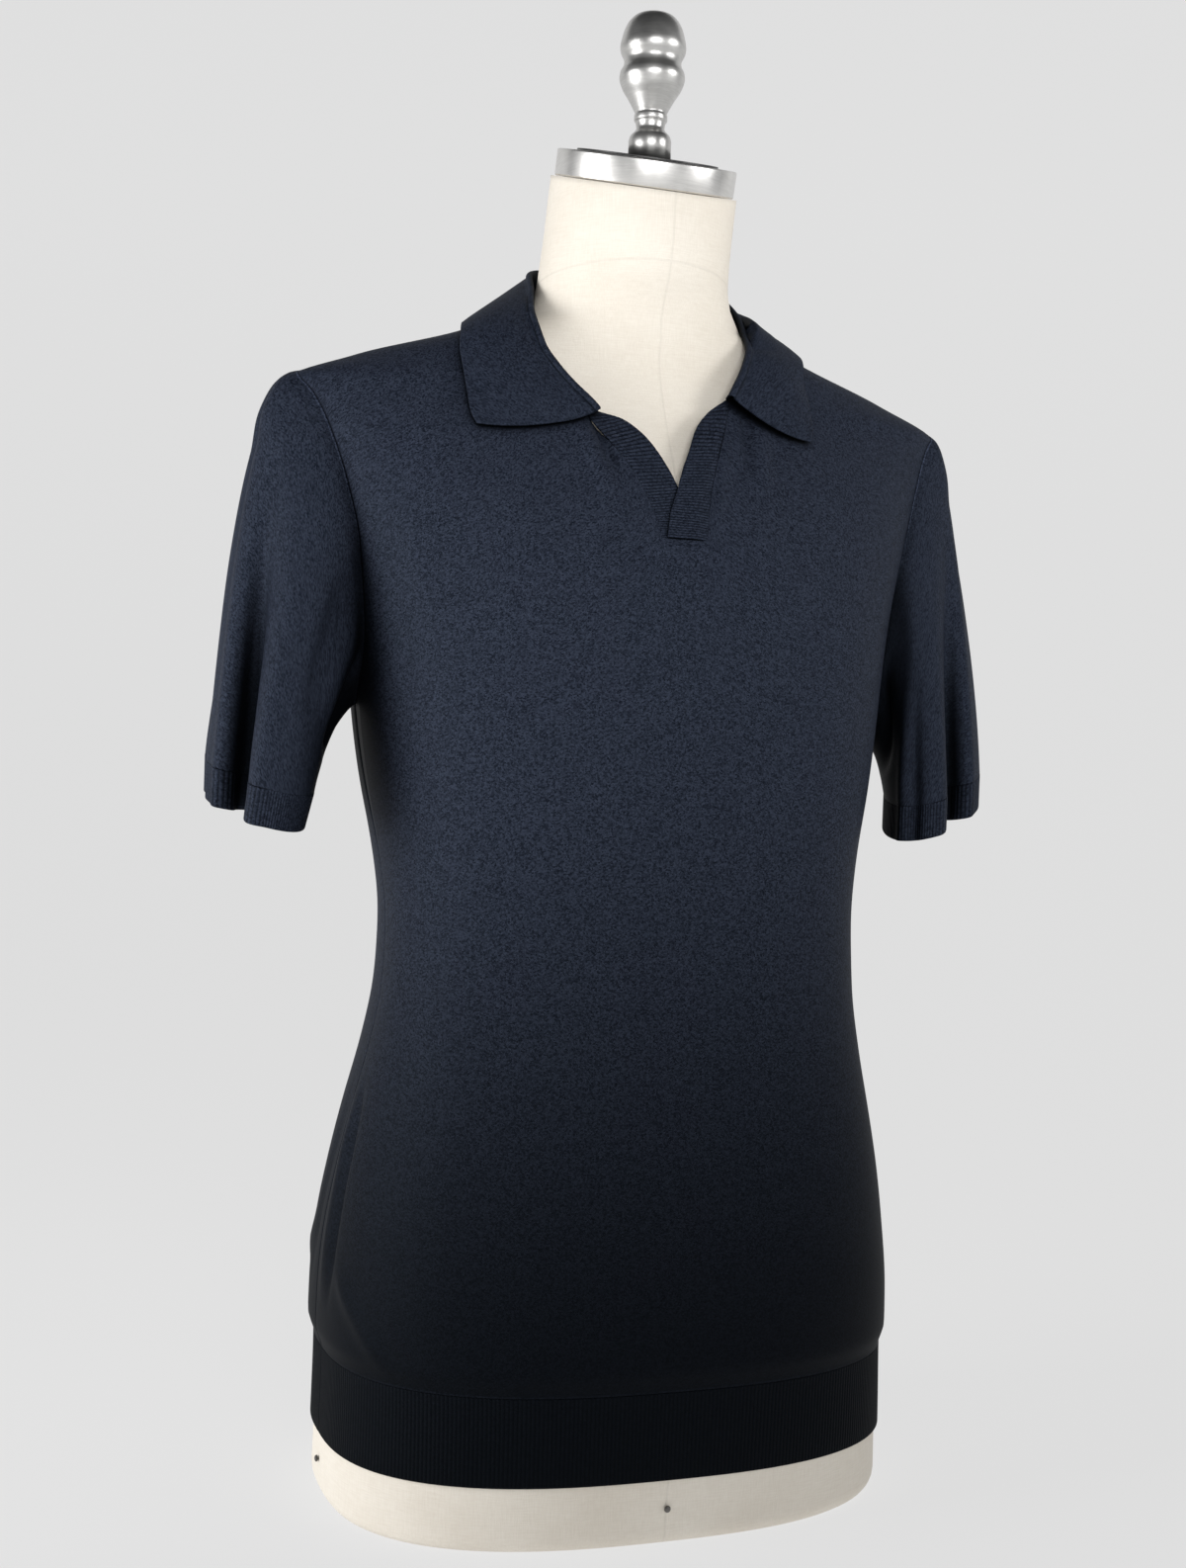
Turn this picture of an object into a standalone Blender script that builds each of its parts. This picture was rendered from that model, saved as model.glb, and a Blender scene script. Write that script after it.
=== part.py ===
"""Knitted polo shirt on a limbless dress form.

Metres, +Z up. The wearer faces -Y and the wearer's left is +X. The origin is the middle of
the form's flat base. Heights in the tables are measured from that base.
"""

import math

import bmesh
import bpy
import numpy as np

NAME = "polo_shirt_on_dress_form"

# ---------------------------------------------------------------- driving sizes
CLOTH = 0.0012          # wall of the fine knit
COLLAR_WALL = 0.0015    # the collar is a double bed knit, a little thicker
SEAM = 0.0004           # gap left between two pieces that are sewn together
REST = 0.0004           # gap between pieces that rest on each other
NECK_GAP = 0.0018       # the collar's foot stands this far above the neckline's edge

HEM_BOTTOM = 0.0395     # lower edge of the hem rib
HEM_TOP = 0.0915        # seam between the hem rib and the body
UNDERARM = 0.4870
SHOULDER_TIP = 0.6875
CUFF_HEIGHT = 0.023

CAP_RADIUS = 0.0572     # metal disc on the neck
CAP_THICKNESS = 0.0165
CAP_TILT = math.radians(16.7)
CAP_CENTRE = (0.0, -0.012, 0.8217)
PLATE_RADIUS = 0.045
PLATE_THICKNESS = 0.0012
PLATE_LIFT = SEAM + CAP_THICKNESS + SEAM
FINIAL_AXIS = (0.0030, -0.0120)
PIN_RADIUS = 0.0021

FORM_SIDES = 40
HEM_COLUMNS = 24
STRIP_ROWS = 8
COLLAR_STATIONS = 33


class Table:
    """Rows of named columns, read between them along smooth curves that never overshoot."""

    def __init__(self, columns, rows):
        self.columns = columns.split()
        data = np.array(rows, float)
        self.key = data[:, 0]
        self.value = data[:, 1:]
        step = np.diff(self.value, axis=0) / np.diff(self.key)[:, None]
        before, after = step[:-1], step[1:]
        total = np.where(before + after == 0, 1, before + after)
        inner = np.where(before * after > 0, 2 * before * after / total, 0)
        self.slope = np.vstack([step[:1], inner, step[-1:]])

    def at(self, key):
        key = np.clip(key, self.key[0], self.key[-1])
        row = np.clip(np.searchsorted(self.key, key, "right") - 1, 0, len(self.key) - 2)
        width = (self.key[row + 1] - self.key[row])[..., None]
        part = (np.asarray(key) - self.key[row])[..., None] / width
        rise = 3 * part**2 - 2 * part**3
        leave = (part**3 - 2 * part**2 + part) * width
        arrive = (part**3 - part**2) * width
        return (
            (1 - rise) * self.value[row]
            + leave * self.slope[row]
            + rise * self.value[row + 1]
            + arrive * self.slope[row + 1]
        )


# Outer face of the shirt's body. front and back are how far it reaches from the middle
# plane, widest is where along Y it is widest, squareness is the superellipse's exponent.
TORSO = Table(
    "height half_width front back squareness widest",
    [
        (0.0000, 0.1825, 0.1312, 0.1232, 2.60, -0.008),
        (0.0500, 0.1812, 0.1340, 0.1260, 2.60, -0.006),
        (0.0915, 0.1805, 0.1350, 0.1280, 2.60, -0.003),
        (0.1050, 0.1840, 0.1390, 0.1310, 2.60, 0.000),
        (0.1300, 0.1838, 0.1380, 0.1310, 2.60, 0.000),
        (0.1600, 0.1818, 0.1360, 0.1300, 2.55, 0.000),
        (0.2000, 0.1762, 0.1320, 0.1270, 2.50, -0.005),
        (0.2400, 0.1684, 0.1270, 0.1220, 2.45, -0.009),
        (0.2800, 0.1596, 0.1210, 0.1150, 2.40, -0.014),
        (0.3200, 0.1532, 0.1170, 0.1100, 2.40, -0.016),
        (0.3600, 0.1519, 0.1160, 0.1070, 2.40, -0.013),
        (0.4000, 0.1562, 0.1180, 0.1070, 2.40, -0.005),
        (0.4400, 0.1640, 0.1200, 0.1100, 2.40, 0.002),
        (0.4800, 0.1700, 0.1220, 0.1150, 2.35, 0.006),
        (0.5200, 0.1745, 0.1210, 0.1200, 2.30, 0.006),
        (0.5600, 0.1820, 0.1170, 0.1220, 2.20, 0.006),
        (0.6000, 0.1930, 0.1070, 0.1200, 2.10, 0.005),
        (0.6400, 0.2060, 0.0910, 0.1120, 1.90, 0.003),
        (0.6650, 0.2160, 0.0770, 0.1020, 1.70, 0.002),
        (0.6800, 0.2215, 0.0690, 0.0950, 1.55, 0.001),
        (0.7000, 0.1800, 0.0600, 0.0850, 1.60, 0.000),
        (0.7220, 0.1126, 0.0560, 0.0720, 1.80, -0.002),
        (0.7360, 0.0860, 0.0540, 0.0610, 2.00, -0.003),
        (0.7450, 0.0740, 0.0545, 0.0550, 2.00, -0.004),
        (0.7600, 0.0650, 0.0580, 0.0500, 2.00, -0.005),
    ],
)

# How far inside the shirt's outer face the form lies; drop lowers it under the shoulders.
FORM_EASE = Table(
    "height side front back drop",
    [
        (0.000, 0.0022, 0.0022, 0.0022, 0.0000),
        (0.090, 0.0022, 0.0022, 0.0022, 0.0000),
        (0.130, 0.0055, 0.0050, 0.0050, 0.0000),
        (0.200, 0.0040, 0.0040, 0.0045, 0.0000),
        (0.300, 0.0080, 0.0060, 0.0090, 0.0000),
        (0.380, 0.0080, 0.0060, 0.0100, 0.0000),
        (0.480, 0.0050, 0.0035, 0.0060, 0.0000),
        (0.560, 0.0080, 0.0030, 0.0040, 0.0000),
        (0.620, 0.0100, 0.0090, 0.0030, 0.0006),
        (0.660, 0.0100, 0.0110, 0.0065, 0.0014),
        (0.690, 0.0024, 0.0085, 0.0065, 0.0022),
        (0.706, 0.0036, 0.0080, 0.0060, 0.0020),
        (0.722, 0.0140, 0.0035, 0.0070, 0.0016),
        (0.736, 0.0190, 0.0020, 0.0060, 0.0016),
    ],
)

NECK = Table(
    "height middle_x middle_y half_width half_depth tilt_degrees",
    [
        (0.748, -0.002, -0.0045, 0.0640, 0.0530, 2.0),
        (0.762, -0.003, -0.0070, 0.0612, 0.0560, 6.0),
        (0.790, -0.002, -0.0100, 0.0597, 0.0585, 12.0),
        (0.8217, 0.000, -0.0120, 0.0595, 0.0590, 16.7),
    ],
)

# Where the armhole seam crosses each height, in front of and behind the shoulder.
ARMHOLE = Table(
    "height front back",
    [
        (UNDERARM, 0.0060, 0.0060),
        (0.4940, 0.0000, 0.0160),
        (0.5130, -0.0161, 0.0300),
        (0.5330, -0.0240, 0.0360),
        (0.5627, -0.0290, 0.0400),
        (0.5916, -0.0326, 0.0410),
        (0.6173, -0.0300, 0.0380),
        (0.6457, -0.0240, 0.0300),
        (0.6713, -0.0150, 0.0200),
        (0.6820, -0.0080, 0.0110),
        (SHOULDER_TIP, 0.0006, 0.0006),
    ],
)

PANEL_HEIGHTS = (
    HEM_TOP + SEAM / 2, 0.100, 0.110, 0.130, 0.160, 0.200, 0.250, 0.300, 0.350, 0.400, 0.440,
    0.470, UNDERARM, 0.494, 0.513, 0.533, 0.5627, 0.5916, 0.6173, 0.6457, 0.6713, 0.682,
    SHOULDER_TIP,
)  # fmt: skip
CREST_X = (0.198, 0.174, 0.148, 0.124, 0.105)  # columns that end on the shoulder seam
SLEEVE_AROUND = 2 * sum(height >= UNDERARM for height in PANEL_HEIGHTS) - 2
FAN_START = 0.40        # above this height the panel's rows rise towards its neckline
FAN_POWER = 1.3

# The two ribbed strips of the placket, from the stitch line up to the collar.
PLACKET_UNDER = Table(
    "part inner_x inner_z outer_x outer_z",
    [
        (0.00, 0.0040, 0.5900, -0.0165, 0.5900),
        (0.25, 0.0005, 0.6090, -0.0205, 0.6060),
        (0.45, -0.0048, 0.6252, -0.0270, 0.6220),
        (0.60, -0.0110, 0.6390, -0.0340, 0.6360),
        (0.75, -0.0215, 0.6550, -0.0425, 0.6480),
        (0.88, -0.0340, 0.6640, -0.0510, 0.6600),
        (1.00, -0.0485, 0.6655, -0.0595, 0.6747),
    ],
)
PLACKET_OVER = Table(
    "part inner_x inner_z outer_x outer_z",
    [
        (0.00, -0.0140, 0.5900, 0.0119, 0.5900),
        (0.20, -0.0109, 0.6044, 0.0142, 0.6040),
        (0.38, -0.0055, 0.6180, 0.0175, 0.6195),
        (0.55, 0.0000, 0.6320, 0.0225, 0.6340),
        (0.70, 0.0065, 0.6455, 0.0280, 0.6480),
        (0.82, 0.0145, 0.6610, 0.0345, 0.6620),
        (0.92, 0.0255, 0.6730, 0.0405, 0.6770),
        (1.00, 0.0386, 0.6800, 0.0468, 0.6866),
    ],
)
OVERLAP_LIFT = CLOTH + SEAM   # how far the upper strip stands off the lower one

# Stations round the collar, from the wearer's right end behind the neck to the left end:
# where it is sewn on, its fold, and the edge of its leaf.
COLLAR = Table(
    "station neck_x neck_y neck_z fold_x fold_y fold_z edge_x edge_y edge_z",
    [
        (0, -0.0490, -0.0720, 0.6675, -0.0482, -0.0775, 0.6690, -0.1205, -0.0680, 0.6535),
        (1, -0.0600, -0.0690, 0.6770, -0.0590, -0.0735, 0.6775, -0.1232, -0.0630, 0.6620),
        (2, -0.0710, -0.0610, 0.6900, -0.0700, -0.0640, 0.6920, -0.1240, -0.0525, 0.6800),
        (3, -0.0800, -0.0500, 0.7050, -0.0770, -0.0530, 0.7075, -0.1246, -0.0414, 0.6981),
        (4, -0.0860, -0.0340, 0.7200, -0.0800, -0.0360, 0.7280, -0.1205, -0.0260, 0.7145),
        (5, -0.0880, -0.0030, 0.7330, -0.0750, -0.0070, 0.7500, -0.1130, -0.0010, 0.7245),
        (6, -0.0800, 0.0240, 0.7360, -0.0670, 0.0200, 0.7650, -0.1005, 0.0340, 0.7255),
        (7, -0.0520, 0.0500, 0.7380, -0.0440, 0.0460, 0.7740, -0.0640, 0.0700, 0.7225),
        (8, 0.0000, 0.0600, 0.7380, 0.0000, 0.0590, 0.7765, 0.0000, 0.0855, 0.7190),
        (9, 0.0520, 0.0500, 0.7380, 0.0440, 0.0460, 0.7740, 0.0640, 0.0700, 0.7225),
        (10, 0.0800, 0.0240, 0.7360, 0.0665, 0.0200, 0.7650, 0.1005, 0.0340, 0.7255),
        (11, 0.0870, -0.0030, 0.7335, 0.0690, -0.0060, 0.7490, 0.1100, -0.0010, 0.7235),
        (12, 0.0780, -0.0330, 0.7240, 0.0640, -0.0340, 0.7290, 0.1030, -0.0330, 0.7120),
        (13, 0.0680, -0.0460, 0.7150, 0.0590, -0.0520, 0.7165, 0.1000, -0.0470, 0.7010),
        (14, 0.0570, -0.0560, 0.7030, 0.0530, -0.0610, 0.7045, 0.1000, -0.0540, 0.6890),
        (15, 0.0480, -0.0625, 0.6910, 0.0465, -0.0675, 0.6940, 0.1000, -0.0615, 0.6745),
        (16, 0.0400, -0.0670, 0.6848, 0.0402, -0.0720, 0.6860, 0.0955, -0.0705, 0.6605),
    ],
)  # fmt: skip
FOLD_RADIUS = 0.0017
LEAF_LIFT = 0.0034      # least height of the leaf's middle over the shirt
LEAF_BULGE = 0.0030
LEAF_PARTS = (0.0, 0.22, 0.48, 0.76, 1.0)
FRONT_EDGE_SAG = 0.006  # how far a leaf's front edge dips below a straight line

# One row for each sleeve: the middle of its cuff, the flattened oval's half sizes across
# and along, how far that oval is turned, the deep fold down its outer side, the height of
# the cuff's lower edge, its rise towards the back and (lean) away from the body, how much
# narrower that edge is, and how far out the cloth springs from the shoulder.
SLEEVES = {
    "right": dict(side=-1, middle_x=0.230, middle_y=0.002, across=0.030, along=0.060,
                  turn=6, valley_at=36, valley_spread=15, valley_depth=0.024,
                  level=0.4190, slope=0.15, lean=0.18, taper=0.92, spring=0.094),
    "left": dict(side=1, middle_x=0.232, middle_y=0.002, across=0.031, along=0.060,
                 turn=40, valley_at=36, valley_spread=17, valley_depth=0.020,
                 level=0.4275, slope=0.13, lean=0.26, taper=1.00, spring=0.048),
}  # fmt: skip
VALLEY_START = 0.30     # where along the sleeve the valley begins
# Directions in which the cloth leaves the armhole and meets the cuff, for a sleeve at +X.
LEAVE = {"top": (0.0, 0.0, -0.032), "front": (0.034, -0.030, -0.050),
         "under": (0.024, 0.0, -0.012), "back": (0.034, 0.030, -0.050)}  # fmt: skip
MEET = {"top": (0.020, 0.0, -0.270), "front": (0.004, -0.012, -0.130),
        "under": (0.016, 0.0, -0.045), "back": (0.004, 0.012, -0.130)}  # fmt: skip
SLEEVE_PARTS = (0.0, 0.05, 0.12, 0.21, 0.32, 0.45, 0.58, 0.71, 0.84, 0.93, 1.0)

FINIAL = [
    # radius, height above the point where its axis meets the plate
    (0.0136, -0.0100),
    (0.0136, 0.0100),
    (0.0128, 0.0128),
    (0.0100, 0.0160),
    (0.0090, 0.0180),
    (0.0098, 0.0225),
    (0.0106, 0.0232),
    (0.0106, 0.0262),
    (0.0100, 0.0272),
    (0.0112, 0.0300),
    (0.0150, 0.0370),
    (0.0192, 0.0440),
    (0.0209, 0.0500),
    (0.0205, 0.0530),
    (0.0184, 0.0575),
    (0.0182, 0.0600),
    (0.0207, 0.0665),
    (0.0210, 0.0690),
    (0.0200, 0.0750),
    (0.0172, 0.0830),
    (0.0115, 0.0890),
    (0.0000, 0.0918),
]
FINIAL_STEPS = 24

MATERIALS = {
    # name: colour, roughness, metallic
    "navy_jersey": ((0.026, 0.033, 0.047), 0.92, 0.0),
    "navy_rib": ((0.020, 0.026, 0.038), 0.94, 0.0),
    "linen": ((0.78, 0.72, 0.61), 0.85, 0.0),
    "brushed_aluminium": ((0.62, 0.61, 0.59), 0.28, 1.0),
    "dark_plate": ((0.06, 0.06, 0.06), 0.45, 1.0),
    "steel": ((0.45, 0.44, 0.42), 0.3, 1.0),
}


# ---------------------------------------------------------------- the torso as a surface
def reach_of(x, height, side):
    """Y of the shirt's outer face at this X and height; side is -1 in front, 1 behind."""
    half_width, front, back, power, widest = TORSO.at(height).T
    depth = front + widest if side < 0 else back - widest
    left = np.clip(1 - (np.abs(x) / half_width) ** power, 0, 1)
    return widest + side * depth * left ** (1 / power)


def width_at(y, height):
    """X of the shirt's outer face at this Y and height, on the wearer's left."""
    half_width, front, back, power, widest = TORSO.at(height).T
    depth = np.where(y < widest, front + widest, back - widest)
    left = np.clip(1 - (np.abs(y - widest) / depth) ** power, 0, 1)
    return half_width * left ** (1 / power)


def unit(vectors):
    return vectors / np.linalg.norm(vectors, axis=-1, keepdims=True)


def outsideness(points):
    """Below zero inside the torso, zero on it and above zero outside it."""
    half_width, front, back, power, widest = np.moveaxis(TORSO.at(points[..., 2]), -1, 0)
    depth = np.where(points[..., 1] < widest, front + widest, back - widest)
    across = (np.abs(points[..., 0]) / half_width) ** power
    return across + (np.abs(points[..., 1] - widest) / depth) ** power - 1


def steepness(points):
    """Gradient of outsideness, which points straight out of the surface."""
    tiny = 1e-5
    steps = [tiny * axis for axis in np.eye(3)]
    return np.stack(
        [(outsideness(points + s) - outsideness(points - s)) / (2 * tiny) for s in steps],
        axis=-1,
    )


def torso_normals(points):
    return unit(steepness(points))


def torso_distance(points):
    return outsideness(points) / np.linalg.norm(steepness(points), axis=-1)


def snapped(points, lift=0.0):
    """The points moved onto the torso's outer face, then out by lift."""
    for _ in range(6):
        points = points - torso_distance(points)[..., None] * torso_normals(points)
    return points + lift * torso_normals(points)


def kept_off(points, lift):
    """The points, those nearer the torso than lift moved out to it."""
    short = np.clip(lift - torso_distance(points), 0, None)
    return points + short[..., None] * torso_normals(points)


def even_half(height, side, edge_y, parts):
    """X of points evenly spaced along half a section, between its two edges at edge_y."""
    half_width, front, back, power, widest = TORSO.at(height)
    depth = front + widest if side < 0 else back - widest
    start = math.asin(min(1, abs(edge_y - widest) / depth) ** (power / 2))
    angle = np.linspace(start, math.pi - start, 181)
    x = -half_width * np.sign(np.cos(angle)) * np.abs(np.cos(angle)) ** (2 / power)
    y = depth * np.sin(angle) ** (2 / power)
    length = np.append(0, np.cumsum(np.hypot(np.diff(x), np.diff(y))))
    return np.interp(parts, length / length[-1], x)


# ---------------------------------------------------------------- meshes
def grid_normals(grid, closed):
    """Normals of a grid of points [row][column]; closed joins the last column to the first."""
    if closed:
        around = np.roll(grid, -1, axis=1) - np.roll(grid, 1, axis=1)
    else:
        around = np.gradient(grid, axis=1)
    return unit(np.cross(around, np.gradient(grid, axis=0)))


def wall_mesh(outer, inner, closed=False):
    """(points, faces) of the closed wall between two grids of points."""
    rows, columns = outer.shape[:2]
    points = np.concatenate([outer.reshape(-1, 3), inner.reshape(-1, 3)])
    half = rows * columns
    faces = []

    def at(row, column, layer):
        return layer * half + row * columns + column % columns

    for row in range(rows - 1):
        for column in range(columns if closed else columns - 1):
            quad = [(row, column), (row, column + 1), (row + 1, column + 1), (row + 1, column)]
            faces.append([at(r, c, 0) for r, c in quad])
            faces.append([at(r, c, 1) for r, c in reversed(quad)])
    for column in range(columns if closed else columns - 1):
        for row, order in ((0, 1), (rows - 1, -1)):
            beside = column + 1
            ring = [at(row, column, 1), at(row, beside, 1), at(row, beside, 0), at(row, column, 0)]
            faces.append(ring[::order])
    if not closed:
        for row in range(rows - 1):
            for column, order in ((0, -1), (columns - 1, 1)):
                below = row + 1
                ring = [at(row, column, 1), at(below, column, 1), at(below, column, 0), at(row, column, 0)]
                faces.append(ring[::order])
    return points, faces


def stack_mesh(rings):
    """(points, faces) of a solid lofted through rings of equal count, closed flat at its ends."""
    count = len(rings[0])
    points = np.concatenate(rings)
    faces = [list(range(count))[::-1], list(range((len(rings) - 1) * count, len(rings) * count))]
    for row in range(len(rings) - 1):
        for column in range(count):
            beside = (column + 1) % count
            low, high = row * count, (row + 1) * count
            faces.append([low + column, low + beside, high + beside, high + column])
    return points, faces


def collection(name):
    made = bpy.data.collections.new(name)
    bpy.context.scene.collection.children.link(made)
    return made


def material(name):
    made = bpy.data.materials.get(name)
    if made:
        return made
    colour, roughness, metallic = MATERIALS[name]
    made = bpy.data.materials.new(name)
    made.use_nodes = True
    shader = made.node_tree.nodes["Principled BSDF"]
    shader.inputs["Base Color"].default_value = (*colour, 1)
    shader.inputs["Roughness"].default_value = roughness
    shader.inputs["Metallic"].default_value = metallic
    made.diffuse_color = (*colour, 1)
    return made


def own_material(obj, name):
    """Gives the object a material of its own, copied from the named finish."""
    finish = material(name).copy()
    finish.name = obj.name + "_" + name
    obj.data.materials.clear()
    obj.data.materials.append(finish)


def add_mesh(name, points, faces, finish, parts):
    mesh = bpy.data.meshes.new(name)
    mesh.from_pydata([tuple(point) for point in points], [], faces)
    shape = bmesh.new()
    shape.from_mesh(mesh)
    bmesh.ops.recalc_face_normals(shape, faces=shape.faces)
    shape.to_mesh(mesh)
    shape.free()
    obj = bpy.data.objects.new(name, mesh)
    parts.objects.link(obj)
    own_material(obj, finish)
    return obj


def move_to(obj, parts):
    for holder in list(obj.users_collection):
        holder.objects.unlink(obj)
    parts.objects.link(obj)


# ---------------------------------------------------------------- the dress form
def form_ring(height):
    """A ring of the padded torso under the shirt."""
    side, front, back, drop = FORM_EASE.at(height)
    half_width, reach_front, reach_back, power, widest = TORSO.at(height + drop)
    angle = np.linspace(0, 2 * math.pi, 1441)[:-1]
    x = (half_width - side) * np.sign(np.cos(angle)) * np.abs(np.cos(angle)) ** (2 / power)
    depth = np.where(np.sin(angle) < 0, reach_front - front + widest, reach_back - back - widest)
    y = widest + depth * np.sign(np.sin(angle)) * np.abs(np.sin(angle)) ** (2 / power)
    return even_ring(x, y, np.full_like(x, height))


def neck_ring(height):
    middle_x, middle_y, half_width, half_depth, tilt = NECK.at(height)
    angle = np.linspace(0, 2 * math.pi, 1441)[:-1]
    along = half_depth * np.sin(angle)
    x = middle_x + half_width * np.cos(angle)
    y = middle_y + along * math.cos(math.radians(tilt))
    z = height + along * math.sin(math.radians(tilt))
    return even_ring(x, y, z)


def even_ring(x, y, z):
    """FORM_SIDES points spaced evenly round a closed curve."""
    points = np.stack([x, y, z], axis=1)
    points = np.vstack([points, points[:1]])
    length = np.append(0, np.cumsum(np.linalg.norm(np.diff(points, axis=0), axis=1)))
    wanted = np.arange(FORM_SIDES) / FORM_SIDES * length[-1]
    return np.stack([np.interp(wanted, length, points[:, axis]) for axis in range(3)], axis=1)


def build_form(parts):
    edge = form_ring(0.010)
    middle = edge.mean(axis=0)
    rings = []
    for height, scale in ((0.0, 0.955), (0.0022, 0.978), (0.0055, 0.992)):
        ring = middle + (edge - middle) * scale
        ring[:, 2] = height
        rings.append(ring)
    rings += [form_ring(h) for h in (
        0.010, 0.050, 0.092, 0.120, 0.160, 0.200, 0.240, 0.280, 0.320, 0.360, 0.400, 0.450, 0.510,
        0.560, 0.600, 0.630, 0.655, 0.670, 0.680, 0.690, 0.704, 0.720, 0.732,
    )]  # fmt: skip
    rings += [neck_ring(h) for h in (0.748, 0.757, 0.772, 0.795, 0.8217)]
    add_mesh("form_torso", *stack_mesh(rings), "linen", parts)


def tilted_disc(name, radius, thickness, lift, finish, parts):
    """A disc square to the neck's tilted top, its underside this far above it."""
    up = (0, -math.sin(CAP_TILT), math.cos(CAP_TILT))
    middle = [c + u * (lift + thickness / 2) for c, u in zip(CAP_CENTRE, up)]
    bpy.ops.mesh.primitive_cylinder_add(
        vertices=64, radius=radius, depth=thickness, location=middle, rotation=(CAP_TILT, 0, 0)
    )
    disc = bpy.context.object
    disc.name = name
    move_to(disc, parts)
    bevel = disc.modifiers.new("edge", "BEVEL")
    bevel.width = min(0.0008, thickness / 4)
    bevel.segments = 1
    bevel.limit_method = "ANGLE"
    own_material(disc, finish)


def plate_top(x, y):
    """Height of the plate's tilted upper face above a point."""
    rise = PLATE_LIFT + PLATE_THICKNESS
    foot_y = CAP_CENTRE[1] - math.sin(CAP_TILT) * rise
    foot_z = CAP_CENTRE[2] + math.cos(CAP_TILT) * rise
    return foot_z + (y - foot_y) * math.tan(CAP_TILT)


def build_finial(parts, cutters):
    """The turned knob: upright, with its foot cut to the slope of the plate."""
    base = plate_top(*FINIAL_AXIS)
    mesh = bpy.data.meshes.new("finial")
    points = [(0.0, 0.0, FINIAL[0][1])] + [(radius, 0.0, height) for radius, height in FINIAL]
    mesh.from_pydata(points, [(i, i + 1) for i in range(len(points) - 1)], [])
    finial = bpy.data.objects.new("finial", mesh)
    finial.location = (*FINIAL_AXIS, base)
    parts.objects.link(finial)
    turn = finial.modifiers.new("turned", "SCREW")
    turn.steps = turn.render_steps = FINIAL_STEPS
    turn.use_merge_vertices = True
    turn.merge_threshold = 0.00005
    turn.use_normal_calculate = True
    bpy.ops.mesh.primitive_cube_add(size=0.1, rotation=(CAP_TILT, 0, 0))
    cutter = bpy.context.object
    cutter.name = "finial_foot_cutter"
    under = 0.05 - REST / 2
    cutter.location = (
        FINIAL_AXIS[0],
        FINIAL_AXIS[1] + math.sin(CAP_TILT) * under,
        base - math.cos(CAP_TILT) * under,
    )
    move_to(cutter, cutters)
    cutter.hide_render = True
    cutter.display_type = "WIRE"
    cut = finial.modifiers.new("foot", "BOOLEAN")
    cut.operation = "DIFFERENCE"
    cut.object = cutter
    own_material(finial, "brushed_aluminium")


def build_pins(parts):
    """Steel pin heads in the linen near the base, at the front and at the wearer's right."""
    ring = form_ring(0.022)
    front = ring[np.argmin(ring[:, 1])]
    right = ring[np.argmin(ring[:, 0])]
    for name, (x, y, _), outward in (("pin_front", front, (0, -1)), ("pin_side", right, (-1, 0))):
        reach = PIN_RADIUS * 0.6 + REST / 2
        bpy.ops.mesh.primitive_uv_sphere_add(
            segments=12, ring_count=6, radius=PIN_RADIUS,
            location=(x * abs(outward[0]) + outward[0] * reach, y + outward[1] * reach, 0.022),
        )  # fmt: skip
        pin = bpy.context.object
        pin.name = name
        pin.scale = (0.6 if outward[0] else 1, 0.6 if outward[1] else 1, 1)
        move_to(pin, parts)
        own_material(pin, "steel")


# ---------------------------------------------------------------- the shirt's body
def edge_y_of(height, side):
    """Where a panel's side edge lies: the side seam, and above the underarm the armhole."""
    seam = TORSO.at(height)[4] + side * SEAM / 2
    if height <= UNDERARM:
        return seam
    front, back = ARMHOLE.at(height)
    return min(front, seam) if side < 0 else max(back, seam)


def edge_x_of(height, side):
    return float(width_at(np.array(edge_y_of(height, side)), np.array(height)))


def crest_height(x):
    """Height at which the shoulder's crest is this far from the middle."""
    heights = np.linspace(SHOULDER_TIP, 0.745, 400)
    return float(np.interp(-abs(x), -TORSO.at(heights)[:, 0], heights))


def neck_points(stations):
    """(x, z) of the panels' neckline at these collar stations."""
    rows = snapped(COLLAR.at(np.array(stations, float))[:, :3])
    away = unit(rows * (1, 1, 0)) - (0, 0, 1)
    rows = snapped(rows + NECK_GAP * unit(away))
    return [(x, z) for x, _, z in rows]


def slot_points(table):
    """(x, z) of the front panel's edge beside a strip, from the stitch line up."""
    rows = table.at(np.linspace(0, 1, STRIP_ROWS))
    edge = rows[:, 2:4]
    away = np.gradient(edge, axis=0)[:, ::-1] * (1, -1)
    away *= np.sign(((edge - rows[:, 0:2]) * away).sum(axis=1, keepdims=True))
    edge = edge + SEAM * unit(away)
    edge[0, 1] -= SEAM
    return [tuple(point) for point in edge]


def panel_top(side):
    """(x, z) along a panel's upper edge, from the wearer's right shoulder tip to the left."""
    tip = edge_x_of(SHOULDER_TIP, side)
    right = [(-tip, SHOULDER_TIP)] + [(-x, crest_height(x)) for x in CREST_X]
    left = [(-x, z) for x, z in reversed(right)]
    if side > 0:
        return right + neck_points(np.arange(5, 11.01, 0.6)) + left
    slot_right = slot_points(PLACKET_UNDER)[::-1]
    slot_left = slot_points(PLACKET_OVER)
    middle = [((slot_right[-1][0] + slot_left[0][0]) / 2, slot_left[0][1])]
    return (
        right + neck_points([5, 4.4, 3.8, 3, 2]) + slot_right + middle + slot_left
        + neck_points([14, 13, 12.2, 11.6, 11]) + left
    )  # fmt: skip


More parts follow.
